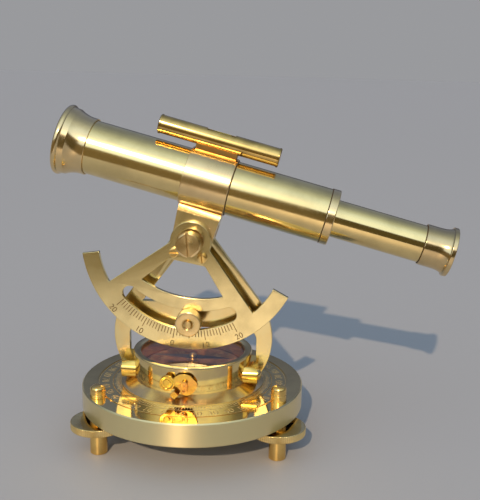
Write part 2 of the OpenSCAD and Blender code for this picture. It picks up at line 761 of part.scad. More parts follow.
// The eyepiece: a plain collar over the draw tube, a waist and a thin flange
module eyepiece() {
    neck = draw_r + 0.5;
    z1 = draw_back + eye_l;
    color(satin) on_axis() turned(concat(
        [[draw_in - 0.6, draw_back], [neck + 0.3, draw_back], [neck + 0.3, draw_back + 2.2],
            [neck, draw_back + 2.5], [neck, draw_back + 5]],
        [for (k = [0:6]) [neck + 1.3 * pow(k / 6, 2), draw_back + 5 + (eye_l - 7) * k / 6]],
        [[eye_flange_r, z1 - 1.9], [eye_flange_r, z1 - 0.3], [eye_flange_r - 0.3, z1],
            [6.6, z1], [4.6, z1 - 2.0], [4.6, z1 - 2.6], [draw_in - 0.6, z1 - 2.6]]));
}
module eye_lens() {
    z1 = draw_back + eye_l - 2.6 - seat;
    color(clear) on_axis() lens(draw_in - 0.6 - seat, z1 - 3.4, z1, 24, 60);
}
module field_lens() {
    z0 = draw_back - 12;
    color(clear) on_axis() lens(draw_in - seat, z0, z0 + 3.2, 26, 60);
}

module level_saddle() {
    color(satin) tilted() difference() {
        translate([-collar_l / 2 + 1, -2.4, axis_h + collar_r - 1.5])
            cube([collar_l - 2, 4.8, level_h - collar_r + 1]);
        translate([0, 0, axis_h]) rotate([0, 90, 0])
            cylinder(r = collar_r + seat, h = 60, center = true);
        translate([0, 0, axis_h + level_h]) rotate([0, 90, 0])
            cylinder(r = level_r + seat, h = 60, center = true);
    }
}
module level_case() {
    color(polished) on_level() difference() {
        sleeve(level_r, level_in, -level_half, level_half);
        translate([-level_r - 1, -window_w / 2, -window_half]) cube([level_r, window_w, 2 * window_half]);
    }
}
module level_vial() {
    r = level_in - 0.05;
    half = level_half - 2.4;
    color(clear) on_level() turned(concat([[0, -half]],
        arc_points(r - 1.2, -half + 1.2, 1.2, -90, 0, 5),
        arc_points(r - 1.2, half - 1.2, 1.2, 0, 90, 5), [[0, half]]));
}
module level_end_cap() {
    z0 = level_half;
    turned([[0, z0 - 2.2], [level_in - seat, z0 - 2.2], [level_in - seat, z0], [level_r + 0.25, z0],
        [level_r + 0.25, z0 + level_cap_t - 0.3], [level_r - 0.1, z0 + level_cap_t], [0, z0 + level_cap_t]]);
}
module level_end_caps() {
    color(satin) on_level() level_end_cap();
    color(satin) on_level() mirror([0, 0, 1]) level_end_cap();
}

base_plate();
foot_post(0);  // foot_post_1
foot_post(1);  // foot_post_2
foot_post(2);  // foot_post_3
levelling_stem(0);  // levelling_stem_1
levelling_stem(1);  // levelling_stem_2
levelling_stem(2);  // levelling_stem_3
levelling_knob(0);  // levelling_knob_1
levelling_knob(1);  // levelling_knob_2
levelling_knob(2);  // levelling_knob_3
azimuth_plate();
spindle();
spindle_washer();
spindle_nut();
compass_seat_ring();
compass_box();
compass_card();
needle_pin();
compass_needle();
needle_cap();
needle_lifter();
compass_glass();
compass_bezel();
lock_lever();
lock_pin();
lug_left();
lug_right();
lug_screws();
yoke();
pivot_screw();
pivot_washer();
pivot_nut();
clamp_stud();
clamp_knob();
clamp_washer();
clinometer_arc();
arc_screws();
tube_lug();
strap_collar();
main_tube();
objective_cap();
objective_lens();
lens_retaining_ring();
tube_end_ring();
draw_tube_guide();
draw_tube();
draw_stop_ring();
reticle_ring();
eyepiece();
eye_lens();
field_lens();
level_saddle();
level_case();
level_vial();
level_end_caps();
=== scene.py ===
import json
import math

import bmesh
import bpy
import numpy as np
from bpy.props import FloatProperty, FloatVectorProperty, IntProperty, PointerProperty
from mathutils import Matrix, Vector


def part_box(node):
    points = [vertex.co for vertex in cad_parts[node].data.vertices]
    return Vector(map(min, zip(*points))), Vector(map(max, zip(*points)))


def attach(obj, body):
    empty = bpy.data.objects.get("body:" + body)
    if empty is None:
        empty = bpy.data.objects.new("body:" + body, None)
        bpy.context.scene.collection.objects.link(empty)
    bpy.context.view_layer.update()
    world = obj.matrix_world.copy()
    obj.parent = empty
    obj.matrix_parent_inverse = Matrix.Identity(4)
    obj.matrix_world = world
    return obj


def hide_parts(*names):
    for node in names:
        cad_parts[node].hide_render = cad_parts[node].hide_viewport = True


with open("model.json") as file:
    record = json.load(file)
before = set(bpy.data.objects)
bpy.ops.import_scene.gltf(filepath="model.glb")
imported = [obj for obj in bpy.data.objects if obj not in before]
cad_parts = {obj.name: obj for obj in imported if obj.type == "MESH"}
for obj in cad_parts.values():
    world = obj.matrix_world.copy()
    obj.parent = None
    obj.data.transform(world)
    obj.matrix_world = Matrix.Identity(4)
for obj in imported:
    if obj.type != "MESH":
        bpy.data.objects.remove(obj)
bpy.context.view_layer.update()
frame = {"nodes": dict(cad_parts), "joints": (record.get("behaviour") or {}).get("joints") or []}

bl_info = {
    "name": "Brass sighting telescope",
    "version": (1, 0, 0),
    "blender": (4, 5, 0),
    "location": "3D View > Sidebar > Telescope",
    "description": "Finished surfaces for a sighting telescope on a compass alidade",
    "category": "Add Mesh",
}

MM = 0.001
# Lines and figures stand for engraving: their tops are this far above a face, in mm, and their
# bottoms this far below it.
PROUD, SUNK = 0.012, 0.05
JOINTS = {joint["name"]: joint for joint in frame["joints"]}


def srgb(code):
    """The linear colour of an sRGB hex code."""
    values = [int(code[i:i + 2], 16) / 255 for i in (1, 3, 5)]
    return tuple(v / 12.92 if v <= 0.04045 else ((v + 0.055) / 1.055) ** 2.4 for v in values)


def place_on(origin, along, across=(1, 0, 0)):
    """A piece's own axes: Z is along, and X is the part of across that is square to it."""
    z = np.array(along, float) / np.linalg.norm(along)
    x = np.array(across, float) - z * np.dot(z, across)
    place = np.eye(4)
    place[:3, :3] = np.column_stack([x / np.linalg.norm(x), np.cross(z, x / np.linalg.norm(x)), z])
    place[:3, 3] = origin
    return place


def middle(node):
    """The middle of a CAD node's box."""
    low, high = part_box(node)
    return np.array((low + high) / 2)


def span(node, place):
    """Inner radius, outer radius and the two ends of a CAD node in mm, about the Z of place."""
    mesh = frame["nodes"][node].data
    co = np.empty(len(mesh.vertices) * 3)
    mesh.vertices.foreach_get("co", co)
    own = (co.reshape(-1, 3) - place[:3, 3]) @ place[:3, :3] / MM
    r = np.hypot(own[:, 0], own[:, 1])
    return r.min(), r.max(), own[:, 2].min(), own[:, 2].max()


# The places of the turned pieces: Z of each is the axis that its piece was turned about.
FRONT, ACROSS = (0, -1, 0), (1, 0, 0)
TUBE_LINE = JOINTS["draw_slide"]["axis"]
UPRIGHT = np.eye(4)
TUBE = place_on(middle("strap_collar"), TUBE_LINE, (0, 0, 1))
LEVEL = place_on(middle("level_case"), TUBE_LINE, (0, 0, 1))
PIVOT = place_on(JOINTS["altitude"]["pos_m"], FRONT)
CLAMP = place_on(JOINTS["clamp_turn"]["pos_m"], FRONT)
LOCK = place_on(JOINTS["lock_turn"]["pos_m"], FRONT)
SCREWS = [place_on((*JOINTS[f"screw_{i}_turn"]["pos_m"][:2], 0), (0, 0, 1)) for i in (1, 2, 3)]
TILT = math.degrees(math.asin(-TUBE_LINE[2]))


def a_colour(name, description, default):
    """A colour that a user can change, given as a hex code or as linear values."""
    return FloatVectorProperty(
        name=name, description=description, subtype="COLOR",
        default=srgb(default) if isinstance(default, str) else default)


def a_size(name, description, default, **limits):
    """A size that a user can change."""
    return FloatProperty(name=name, description=description, default=default, **limits)


class BrassColours(bpy.types.PropertyGroup):
    """Colours that the metals send back at right angles, and those of the other materials."""
    polished: a_colour("Polished brass", "Buffed plates and knobs", "#F2D592")
    tube: a_colour("Drawn brass", "Drawn tubes, a greener brass", "#F2D795")
    satin: a_colour("Satin brass", "Turned fittings with a satin face", "#F1D39A")
    plate: a_colour("Plate brass", "Brushed flat plate, a paler brass", "#EEDCA2")
    golden: a_colour("Golden brass", "Screws and small parts, a redder brass", "#F4CB78")
    gilded: a_colour("Deep gold brass", "Small hand-filed parts, the deepest yellow", "#E3BC52")
    # The braze colour also serves as painted reflection on the tube's lug and as painted shade on
    # the level's saddle.
    braze: a_colour("Braze", "Metal that the torch has reddened", "#DB9A52")
    cut: a_colour("Engraved line", "Rough bottom of an engraved line", "#6E5226")
    scribed: a_colour("Scribed line", "Bright bottom of a line cut on the base", "#E8CE92")
    card_line: a_colour("Card line", "Bright lines and figures on the card", "#D8C398")
    # Seam colour: dark polish, and also painted shade where two parts meet.
    residue: a_colour("Polish residue", "Dark polish left in a seam", "#54401F")
    vial_mark: a_colour("Vial mark", "Lacquer rings on the vial", "#1C1712")
    card: a_colour("Compass card", "Oxidised copper card", "#AE7040")
    steel: a_colour("Needle steel", "Blued steel of the needle", "#2E3040")
    spirit: a_colour("Level spirit", "Dyed spirit in the vial", "#D6DE7A")


class TurnedSizes(bpy.types.PropertyGroup):
    """Sizes of turned and knurled pieces, in mm."""
    knob_teeth: IntProperty(name="Teeth on a levelling knob",
                            description="Number of straight knurls", default=78, min=12)
    clamp_teeth: IntProperty(name="Teeth on the clamp knob",
                             description="Number of straight knurls", default=40, min=12)
    knurl_depth: a_size("Knurl depth", "Depth of a knurl, in mm", 0.28, min=0.05)
    flare_r: a_size("Flare", "Radius of the objective cap's flare, in mm", 14.0, min=5)
    bead: a_size("Bead", "Radius of the bead at the cap's mouth, in mm", 1.5, min=0.5)
    glass_dome: a_size("Glass dome", "Rise of the compass glass, in mm", 0.45, min=0)


class ArcSizes(bpy.types.PropertyGroup):
    """Sizes of the clinometer arc and its divisions, in mm and degrees."""
    turn: a_size("Turn", "From the telescope's tilt to the arc's zero, in degrees", 4.5)
    radius: a_size("Radius", "Outer radius, in mm", 49.5)
    horn: a_size("Horn", "Width of an end horn, in mm", 7.6)
    half: a_size("Half angle", "Half angle, in degrees", 72)
    hub: a_size("Hub", "Radius of the hub, in mm", 9.2)
    notch: a_size("Notch", "Angle where an arm meets its horn, in degrees", 52.2)
    slot_mid: a_size("Slot radius", "Middle of the slot, in mm", 35.7)
    slot_width: a_size("Slot width", "At its middle, in mm", 9.0)
    slot_half: a_size("Slot angle", "Half angle, in degrees", 38.4)
    slot_rise: a_size("Slot rise", "Height of the upper edge's centre, in mm", 14.5)
    step: a_size("Division", "Angle of a division, in degrees", 1.9)
    figure: a_size("Figure", "Height of a figure, in mm", 2.6)


class StageSizes(bpy.types.PropertyGroup):
    """The floor, the light and the camera."""
    floor: a_colour("Floor", "Pale grey table top", "#A3A3A3")
    front: a_size("Front edge", "Y of the floor's front edge, in metres", -0.333)
    slope: a_size("Front slope", "Slope of the floor's front edge", -0.6)
    wall: a_colour("Wall", "Dark wall behind the far edge", (0.088, 0.102, 0.145))
    ground: a_colour("Ground", "Plain ground in front of the floor's edge", (0.18, 0.14, 0.075))
    shade: a_colour("Shaded ground", "Ground in shade on the right", (0.085, 0.07, 0.032))
    haze: a_colour("Far edge", "Backdrop at the floor's far edge", (0.32, 0.323, 0.337))
    lamp: a_colour("Lamp", "Colour of the lamp", (1.0, 0.76, 0.52))
    power: a_size("Lamp strength", "In watts per square metre", 2.95)
    towards_lamp: FloatVectorProperty(
        name="Towards the lamp", description="Direction of the lamp", subtype="DIRECTION",
        default=(-0.084, -0.85, 0.52))
    azimuth: a_size("Azimuth", "Of the camera, in degrees", 6.377)
    elevation: a_size("Elevation", "Of the camera, in degrees", 12.571)
    distance: a_size("Distance", "From the point looked at", 0.368015, unit="LENGTH")
    target: FloatVectorProperty(
        name="Point looked at", description="Where the camera points", subtype="TRANSLATION",
        default=(0.021066, 0, 0.089445))
    roll: a_size("Roll", "Of the camera, in degrees", 0.993)
    lens: a_size("Lens", "Focal length, in mm", 59.23)


# Shapes

def rounded(corners, steps=5):
    """A profile through corners (r, z, cut). A corner C is cut back by its cut to A and B on its
    two sides, and the curve (1-t)(1-t) A + 2t(1-t) C + t t B takes its place."""
    table = np.array([(*c, 0)[:3] for c in corners], float)
    point, cut = table[:, :2], table[:, 2:]
    t = np.linspace(0, 1, steps + 1)[None, :, None]

    def back(towards):
        """The corners, each cut back towards a neighbour."""
        gap = towards - point
        length = np.maximum(np.linalg.norm(gap, axis=1, keepdims=True), 1e-9)
        return point + gap / length * np.minimum(cut, length / 2)

    a, b = back(np.roll(point, 1, 0)), back(np.roll(point, -1, 0))
    curve = (1 - t) ** 2 * a[:, None] + 2 * t * (1 - t) * point[:, None] + t ** 2 * b[:, None]
    curve = curve.reshape(-1, 2)
    step = np.linalg.norm(np.diff(curve, axis=0), axis=1)
    return curve[np.concatenate([[True], step > 1e-4])]


def arc_of(x, y, r, start, end, steps):
    """Points x + r cos a, y + r sin a, for a from start to end in degrees."""
    a = np.radians(np.linspace(start, end, steps + 1))
    return np.column_stack([x + r * np.cos(a), y + r * np.sin(a)])


def dimmed(colour, share):
    """A colour times a share."""
    return tuple(share * c for c in colour)


def spokes(degrees):
    """Unit vectors (cos a, sin a) for the angles a."""
    a = np.radians(degrees)
    return np.column_stack([np.cos(a), np.sin(a)])


def oblong(inner, outer, low, high):
    """The section of a plain ring: corners (r, z) from inner to outer and from low to high."""
    return np.array([(inner, low), (outer, low), (outer, high), (inner, high)])


def surface(name, grid, place, wrap_rows=False, wrap_columns=True):
    """A mesh from a grid of points (rows, columns, 3) in mm. Each four neighbours make a face,
    equal points are joined, faces are turned outwards, and the mesh is put in its place. The
    attribute own keeps each point in the piece's own axes, in mm."""
    rows, columns = grid.shape[:2]
    index = np.arange(rows * columns).reshape(rows, columns)
    if wrap_rows:
        index = np.vstack([index, index[:1]])
    if wrap_columns:
        index = np.hstack([index, index[:, :1]])
    faces = np.stack([index[:-1, :-1], index[:-1, 1:], index[1:, 1:], index[1:, :-1]], -1)
    return solid(name, grid.reshape(-1, 3), faces.reshape(-1, 4).tolist(), place)


def solid(name, points, faces, place):
    """A closed mesh from points in mm and faces: equal points are joined, faces are turned
    outwards by the sign of its volume, and the mesh is put in its place."""
    mesh = bpy.data.meshes.new(name)
    mesh.from_pydata(points, [], faces)
    work = bmesh.new()
    work.from_mesh(mesh)
    bmesh.ops.remove_doubles(work, verts=work.verts, dist=1e-4)
    if work.calc_volume(signed=True) < 0:
        bmesh.ops.reverse_faces(work, faces=work.faces)
    work.to_mesh(mesh)
    work.free()
    co = np.empty(len(mesh.vertices) * 3, np.float32)
    mesh.vertices.foreach_get("co", co)
    mesh.attributes.new("own", "FLOAT_VECTOR", "POINT").data.foreach_set("vector", co)
    mesh.transform(Matrix(place.tolist()) @ Matrix.Scale(MM, 4))
    mesh.polygons.foreach_set("use_smooth", np.ones(len(mesh.polygons), bool))
    piece = bpy.data.objects.new(name, mesh)
    bpy.context.scene.collection.objects.link(piece)
    return piece


def lathe(name, profile, place=UPRIGHT, sides=192, closed=True, teeth=0, depth=0.0):
    """A solid of revolution: the profile's point (r, z) goes to (r cos a, r sin a, z). With
    teeth, a radius is held under R - depth (1 - |sin(teeth a / 2)|), the straight knurl."""
    if teeth:
        sides = teeth * 6
    a = np.linspace(0, 2 * np.pi, sides, endpoint=False)[None]
    r = np.repeat(profile[:, :1], sides, 1)
    if teeth:
        r = np.minimum(r, r.max() - depth * (1 - np.abs(np.sin(teeth * a / 2))))
    z = np.repeat(profile[:, 1:], sides, 1)
    grid = np.stack([r * np.cos(a), r * np.sin(a), z], -1)
    return surface(name, grid, place, wrap_rows=closed)


def strips(name, degrees, inner, outer, width, place, low, high):
    """Narrow bars on the spokes at these angles, from the radius inner to outer in mm, each a
    closed box between the heights low and high: corner = point + side * width / 2 across."""
    ring = spokes(degrees)
    starts, ends = (ring * np.reshape(r, (-1, 1)) for r in (inner, outer))
    across = np.column_stack([-ring[:, 1], ring[:, 0]]) * width / 2
    flat = np.stack([starts - across, ends - across, ends + across, starts + across], 1)
    count = len(ring)
    points = np.concatenate([
        np.concatenate([flat, np.full((count, 4, 1), low)], 2),
        np.concatenate([flat, np.full((count, 4, 1), high)], 2)], 1)
    box = np.array([[3, 2, 1, 0], [4, 5, 6, 7], [0, 1, 5, 4], [1, 2, 6, 5], [2, 3, 7, 6],
                    [3, 0, 4, 7]])
    faces = box[None] + 8 * np.arange(count)[:, None, None]
    return solid(name, points.reshape(-1, 3), faces.reshape(-1, 4).tolist(), place)


def drawn_mesh(item):
    """The mesh points and faces of a curve or text, and the item is removed."""
    thing = bpy.data.objects.new("drawing", item)
    bpy.context.scene.collection.objects.link(thing)
    mesh = bpy.data.meshes.new_from_object(
        thing.evaluated_get(bpy.context.evaluated_depsgraph_get()))
    co = np.empty(len(mesh.vertices) * 3)
    mesh.vertices.foreach_get("co", co)
    faces = [tuple(face.vertices) for face in mesh.polygons]
    bpy.data.objects.remove(thing)
    bpy.data.meshes.remove(mesh)
    return co.reshape(-1, 3), faces


def plate(name, outlines, place, low, high, edge):
    """A flat plate between the heights low and high: a filled curve through closed outlines in
    mm, the first outside and the others holes, with its edges rounded by edge."""
    curve = bpy.data.curves.new(name, "CURVE")
    curve.dimensions = "2D"
    curve.fill_mode = "BOTH"
    for outline in outlines:
        spline = curve.splines.new("POLY")
        spline.points.add(len(outline) - 1)
        co = np.zeros((len(outline), 4))
        co[:, :2] = outline
        co[:, 3] = 1
        spline.points.foreach_set("co", co.ravel())
        spline.use_cyclic_u = True
    curve.extrude = (high - low) / 2 - edge
    curve.bevel_depth = edge
    curve.bevel_resolution = 2
    curve.offset = -edge
    points, faces = drawn_mesh(curve)
    points[:, 2] += (low + high) / 2
    return solid(name, points, faces, place)


def figures(name, words, r, lean, height, place, low, high):
    """Engraved figures (text, angle) at the radius r in mm: each text is made a mesh, centred,
    scaled to its height, turned by its angle and the lean in degrees, and moved to its spoke."""
    all_points, all_faces, used = [], [], 0
    for text, angle in words:
        letters = bpy.data.curves.new(name, "FONT")
        letters.body = text
        letters.extrude = 0.01
        letters.offset = -0.002
        points, faces = drawn_mesh(letters)
        lowest, highest = points.min(0), points.max(0)
        points[:, :2] = (points - (lowest + highest) / 2)[:, :2] * height / (highest - lowest)[1]
        points[:, 2] = np.where(points[:, 2] > 0, high, low)
        (c, s), spoke = spokes([angle + lean, angle])
        points[:, :2] = points[:, :2] @ [[c, s], [-s, c]] + spoke * r
        all_points.append(points)
        all_faces += [tuple(used + i for i in face) for face in faces]
        used += len(points)
    return solid(name, np.concatenate(all_points), all_faces, place)


# Materials

def add(tree, kind, inputs=None, **settings):
    """Adds a node. Settings are its properties. Inputs are values, sockets or nodes, which give
    the first output in use, by the input's name, or by its number where inputs share a name."""
    node = tree.nodes.new("ShaderNode" + kind)
    for key, value in settings.items():
        setattr(node, key, value)
    for key, value in (inputs or {}).items():
        if isinstance(value, bpy.types.Node):
            value = next(output for output in value.outputs if output.enabled)
        if isinstance(value, bpy.types.NodeSocket):
            tree.links.new(value, node.inputs[key])
        else:
            node.inputs[key].default_value = value
    return node


def as_material(draw):
    """Turns draw(tree, ...), which adds nodes and returns the shader, into a function of a name
    that makes the whole material, or finds the one that has the name already."""
    def make(name, *values, **options):
        """The material of this name."""
        material = bpy.data.materials.get(name)
        if material is None:
            material = bpy.data.materials.new(name)
            material.use_nodes = True
            tree = material.node_tree
            tree.nodes.clear()
            output = add(tree, "OutputMaterial")
            tree.links.new(draw(tree, *values, **options).outputs[0], output.inputs[0])
        return material

    return make


@as_material
def brass(tree, colour, shade, roughness, about=UPRIGHT, grain="round", pitch=0.4, depth=2.0,
          stretch=0.6, blacked=0.0, braze_and_reflection_from=None, rim=None):
    """Brass with tool marks. Grain round is turned work: the marks are rings about the axis, so
    the pattern reads the radius and the height. Grain along is drawn or brushed work: the
    pattern is drawn out along the axis. The axis is the Z of the place about, or with None that
    of the attribute own. Colour goes to shade in blotches, where handling has dulled the metal,
    under a thin lacquer. Pitch is the width of a mark in mm, depth its depth in thousandths of a
    mm, and stretch how far it draws a highlight out. Inside the radius blacked the metal is
    black. Braze_and_reflection_from is an upward direction, a height on it and a rise: above it
    the metal is redder, partly braze and partly a painted reflection of a neighbouring part. Rim
    is a radius and the roughness past it, where the colour is also paler, a painted highlight."""
    if about is None:
        axis = (0, 0, 1)
        spot = add(tree, "Attribute", attribute_name="own").outputs["Vector"]
    else:
        axis = tuple(about[:3, 2])
        spot = add(tree, "TexCoord").outputs["Object"]
        spot = add(tree, "VectorMath", {0: spot, 1: tuple(about[:3, 3])}, operation="SUBTRACT")
        spot = add(tree, "VectorMath", {0: spot, "Scale": 1 / MM}, operation="SCALE")
    ring = add(tree, "VectorMath", {0: axis, 1: spot}, operation="CROSS_PRODUCT")
    radius = add(tree, "VectorMath", {0: ring}, operation="LENGTH")
    height = add(tree, "VectorMath", {0: axis, 1: spot}, operation="DOT_PRODUCT")
    if grain == "round":
        # A little of the place is added, so that no ring is the same all round.
        track = add(tree, "CombineXYZ", {0: radius, 1: height})
        drift = add(tree, "VectorMath", {0: spot, "Scale": 0.03}, operation="SCALE")
        track = add(tree, "VectorMath", {0: track, 1: drift}, operation="ADD")
        course = ring
    else:
        # Only 4 % of the length is left, so a mark is 25 times as long as it is wide.
        lengthwise = add(tree, "VectorMath", {0: axis, "Scale": height}, operation="SCALE")
        lengthwise = add(tree, "VectorMath", {0: lengthwise, "Scale": 0.96}, operation="SCALE")
        track = add(tree, "VectorMath", {0: spot, 1: lengthwise}, operation="SUBTRACT")
        course = add(tree, "CombineXYZ", {0: axis[0], 1: axis[1], 2: axis[2]})
    marks = add(tree, "TexNoise", {"Vector": track, "Scale": 1 / pitch, "Detail": 2.0,
                                   "Roughness": 0.6})
    blotches = add(tree, "TexNoise", {"Vector": spot, "Scale": 0.11, "Detail": 4.0,
                                      "Roughness": 0.55})
    share = add(tree, "MapRange", {"Value": blotches, "From Min": 0.42, "From Max": 0.66})
    tone = add(tree, "Mix", {0: share, 6: (*colour, 1), 7: (*shade, 1)}, data_type="RGBA")
    gloss = add(tree, "MapRange", {"Value": blotches, "From Min": 0.3, "From Max": 0.7,
                                   "To Min": roughness * 0.75, "To Max": roughness * 1.15})
    gloss = add(tree, "Math", {0: marks, 1: roughness * 0.15, 2: gloss},
                operation="MULTIPLY_ADD")
    if rim:
        # The edge was left as it came from the lathe, past this radius, which its roughness shows.
        # Its paler colour there is a painted highlight, whiter like the lamp's highlight on the
        # side.
        outside = add(tree, "Math", {0: radius, 1: rim[0]}, operation="GREATER_THAN")
        pale = (colour[0], 1.1 * colour[1], 1.3 * colour[2], 1)
        tone = add(tree, "Mix", {0: outside, 6: tone, 7: pale}, data_type="RGBA")
        gloss = add(tree, "Mix", {0: outside, 2: gloss, 3: rim[1]}, data_type="FLOAT")
    metal = 1.0
    if braze_and_reflection_from is not None:
        # Above this height the metal is redder, duller and lumpy: partly braze left by the torch,
        # partly a painted reflection of the collar above it.
        up, level, rise = braze_and_reflection_from
        height_up = add(tree, "VectorMath", {0: up, 1: spot}, operation="DOT_PRODUCT")
        rough = add(tree, "TexNoise", {"Vector": spot, "Scale": 0.9, "Detail": 5.0})
        height_up = add(tree, "Math", {0: rough, 1: 2.0, 2: height_up},
                        operation="MULTIPLY_ADD")
        braze_and_reflection = add(tree, "MapRange", {"Value": height_up, "From Min": level + 1.0,
                                       "From Max": level + 1.0 + rise})
        braze = (*bpy.context.scene.telescope_colours.braze, 1)
        tone = add(tree, "Mix", {0: braze_and_reflection, 6: tone, 7: braze}, data_type="RGBA")
        marks = add(tree, "Math", {0: braze_and_reflection, 1: rough, 2: marks}, operation="MULTIPLY_ADD")
    if blacked:
        # Matt black lacquer inside a tube keeps stray light away from the eye.
        inside = add(tree, "Math", {0: radius, 1: blacked}, operation="LESS_THAN")
        tone = add(tree, "Mix", {0: inside, 6: tone, 7: (0.012, 0.012, 0.013, 1)},
                   data_type="RGBA")
        gloss = add(tree, "Mix", {0: inside, 2: gloss, 3: 0.7}, data_type="FLOAT")
        metal = add(tree, "Math", {0: 1.0, 1: inside}, operation="SUBTRACT")
    bump = add(tree, "Bump", {"Strength": 1.0, "Distance": depth * 1e-6, "Height": marks})
    course = add(tree, "VectorTransform", {0: course}, vector_type="VECTOR",
                 convert_from="OBJECT", convert_to="WORLD")
    normal = add(tree, "NewGeometry").outputs["Normal"]
    tangent = add(tree, "VectorMath", {0: normal, 1: course}, operation="CROSS_PRODUCT")
    tangent = add(tree, "VectorMath", {0: tangent}, operation="NORMALIZE")
    return add(tree, "BsdfPrincipled", {
        "Base Color": tone, "Metallic": metal, "Roughness": gloss, "Anisotropic": stretch,
        "Tangent": tangent, "Normal": bump, "Coat Weight": 0.15, "Coat Roughness": 0.12})


@as_material
def clear(tree, tint, ior):
    """Ground and polished glass, or a liquid: it bends light, and lets lamp light through. Fine
    dust on it makes the roughness uneven."""
    spot = add(tree, "TexCoord").outputs["Object"]
    dust = add(tree, "TexNoise", {"Vector": spot, "Scale": 350.0, "Detail": 3.0})
    haze = add(tree, "MapRange", {"Value": dust, "From Min": 0.5, "From Max": 0.75,
                                  "To Max": 0.05})
    body = add(tree, "BsdfPrincipled", {
        "Base Color": (*tint, 1), "Roughness": haze, "IOR": ior, "Transmission Weight": 1.0})
    open_way = add(tree, "BsdfTransparent", {0: (*tint, 1)})
    lamp_ray = add(tree, "LightPath").outputs["Is Shadow Ray"]
    return add(tree, "MixShader", {0: lamp_ray, 1: body, 2: open_way})


@as_material
def engraved(tree, colour, metal=0.6):
    """The bottom of an engraved line: rough cut brass with a little dark polish left in it, so
    it is dark on a bright face and pale on a dark reflection."""
    spot = add(tree, "TexCoord").outputs["Object"]
    dirt = add(tree, "TexNoise", {"Vector": spot, "Scale": 900.0, "Detail": 3.0})
    share = add(tree, "MapRange", {"Value": dirt, "From Min": 0.4, "From Max": 0.65})
    dark = dimmed(colour, 0.6)
    tone = add(tree, "Mix", {0: share, 6: (*colour, 1), 7: (*dark, 1)}, data_type="RGBA")
    bump = add(tree, "Bump", {"Strength": 1.0, "Distance": 2e-5, "Height": dirt})
    return add(tree, "BsdfPrincipled", {
        "Base Color": tone, "Metallic": metal, "Roughness": 0.55, "Normal": bump})


@as_material
def copper_card(tree, colour):
    """A copper card that has gone brown and rose in patches under its glass."""
    spot = add(tree, "TexCoord").outputs["Object"]
    patches = add(tree, "TexNoise", {"Vector": spot, "Scale": 160.0, "Detail": 6.0,
                                     "Roughness": 0.62, "Distortion": 0.6})
    tone = add(tree, "ValToRGB", {0: patches})
    ramp = tone.color_ramp
    ramp.elements[0].position, ramp.elements[1].position = 0.36, 0.68
    ramp.elements[0].color = (*dimmed(colour, 0.45), 1)
    ramp.elements[1].color = (*(min(1, 1.4 * c + 0.09) for c in colour), 1)
    bump = add(tree, "Bump", {"Strength": 0.6, "Distance": 4e-5, "Height": patches})
    gloss = add(tree, "MapRange", {"Value": patches, "To Min": 0.25, "To Max": 0.5})
    return add(tree, "BsdfPrincipled", {
        "Base Color": tone, "Metallic": 0.55, "Roughness": gloss, "Normal": bump})


@as_material
def needle_steel(tree, colour):
    """Steel with a ground face: blued on its north half, tempered brown on the other."""
    spot = add(tree, "Attribute", attribute_name="own").outputs["Vector"]
    apart = add(tree, "SeparateXYZ", {0: spot})
    side = add(tree, "MapRange", {"Value": apart.outputs["X"], "From Min": -0.3, "From Max": 0.3})
    tone = add(tree, "Mix", {0: side, 6: (0.2, 0.17, 0.15, 1), 7: (*colour, 1)},
               data_type="RGBA")
    drawn = add(tree, "VectorMath", {0: spot, 1: (0.3, 8.0, 8.0)}, operation="MULTIPLY")
    marks = add(tree, "TexNoise", {"Vector": drawn, "Scale": 1.0, "Detail": 3.0})
    gloss = add(tree, "MapRange", {"Value": marks, "To Min": 0.3, "To Max": 0.5})
    bump = add(tree, "Bump", {"Strength": 1.0, "Distance": 2e-6, "Height": marks})
    return add(tree, "BsdfPrincipled", {
        "Base Color": tone, "Metallic": 1.0, "Roughness": gloss, "Normal": bump})


@as_material
def painted_top(tree, colour):
    """A grey laminate table top: a fine speckle and a soft sheen."""
    spot = add(tree, "TexCoord").outputs["Object"]
    # The real grain is about 0.3 mm, drawn at 1.5 mm so that it can show at all.
    grain = add(tree, "TexNoise", {"Vector": spot, "Scale": 650.0, "Detail": 2.0})
    tone = add(tree, "MapRange", {"Value": grain, "To Min": 0.985, "To Max": 1.015})
    tone = add(tree, "VectorMath", {0: colour, "Scale": tone}, operation="SCALE")
    return add(tree, "BsdfPrincipled", {
        "Base Color": tone, "Roughness": 0.5, "Specular IOR Level": 0.4})


# Joining pieces to the frame

def fit(piece, body, slot, material, *nodes):
    """A new piece gets its material, rides on its body and stands for the CAD nodes named."""
    piece.data.materials.clear()
    piece.data.materials.append(material)
    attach(piece, body)
    if nodes:
        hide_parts(*nodes)
    even = piece.modifiers.new("even shading", "WEIGHTED_NORMAL")
    even.keep_sharp = False


def dress(material, edge, *nodes):
    """CAD nodes keep their shape and get a material. With an edge, in mm, their triangles are
    joined and their edges rounded, as polishing leaves them."""
    for node in nodes:
        thing = frame["nodes"][node]
        thing.material_slots[0].material = material
        if edge:
            weld = thing.modifiers.new("join", "WELD")
            weld.merge_threshold = 1e-6
            bevel = thing.modifiers.new("polished edges", "BEVEL")
            bevel.width = edge * MM
            bevel.segments = 2
            bevel.limit_method = "ANGLE"
            bevel.angle_limit = math.radians(40)
            bevel.use_clamp_overlap = True
            even = thing.modifiers.new("even shading", "WEIGHTED_NORMAL")
            even.keep_sharp = False


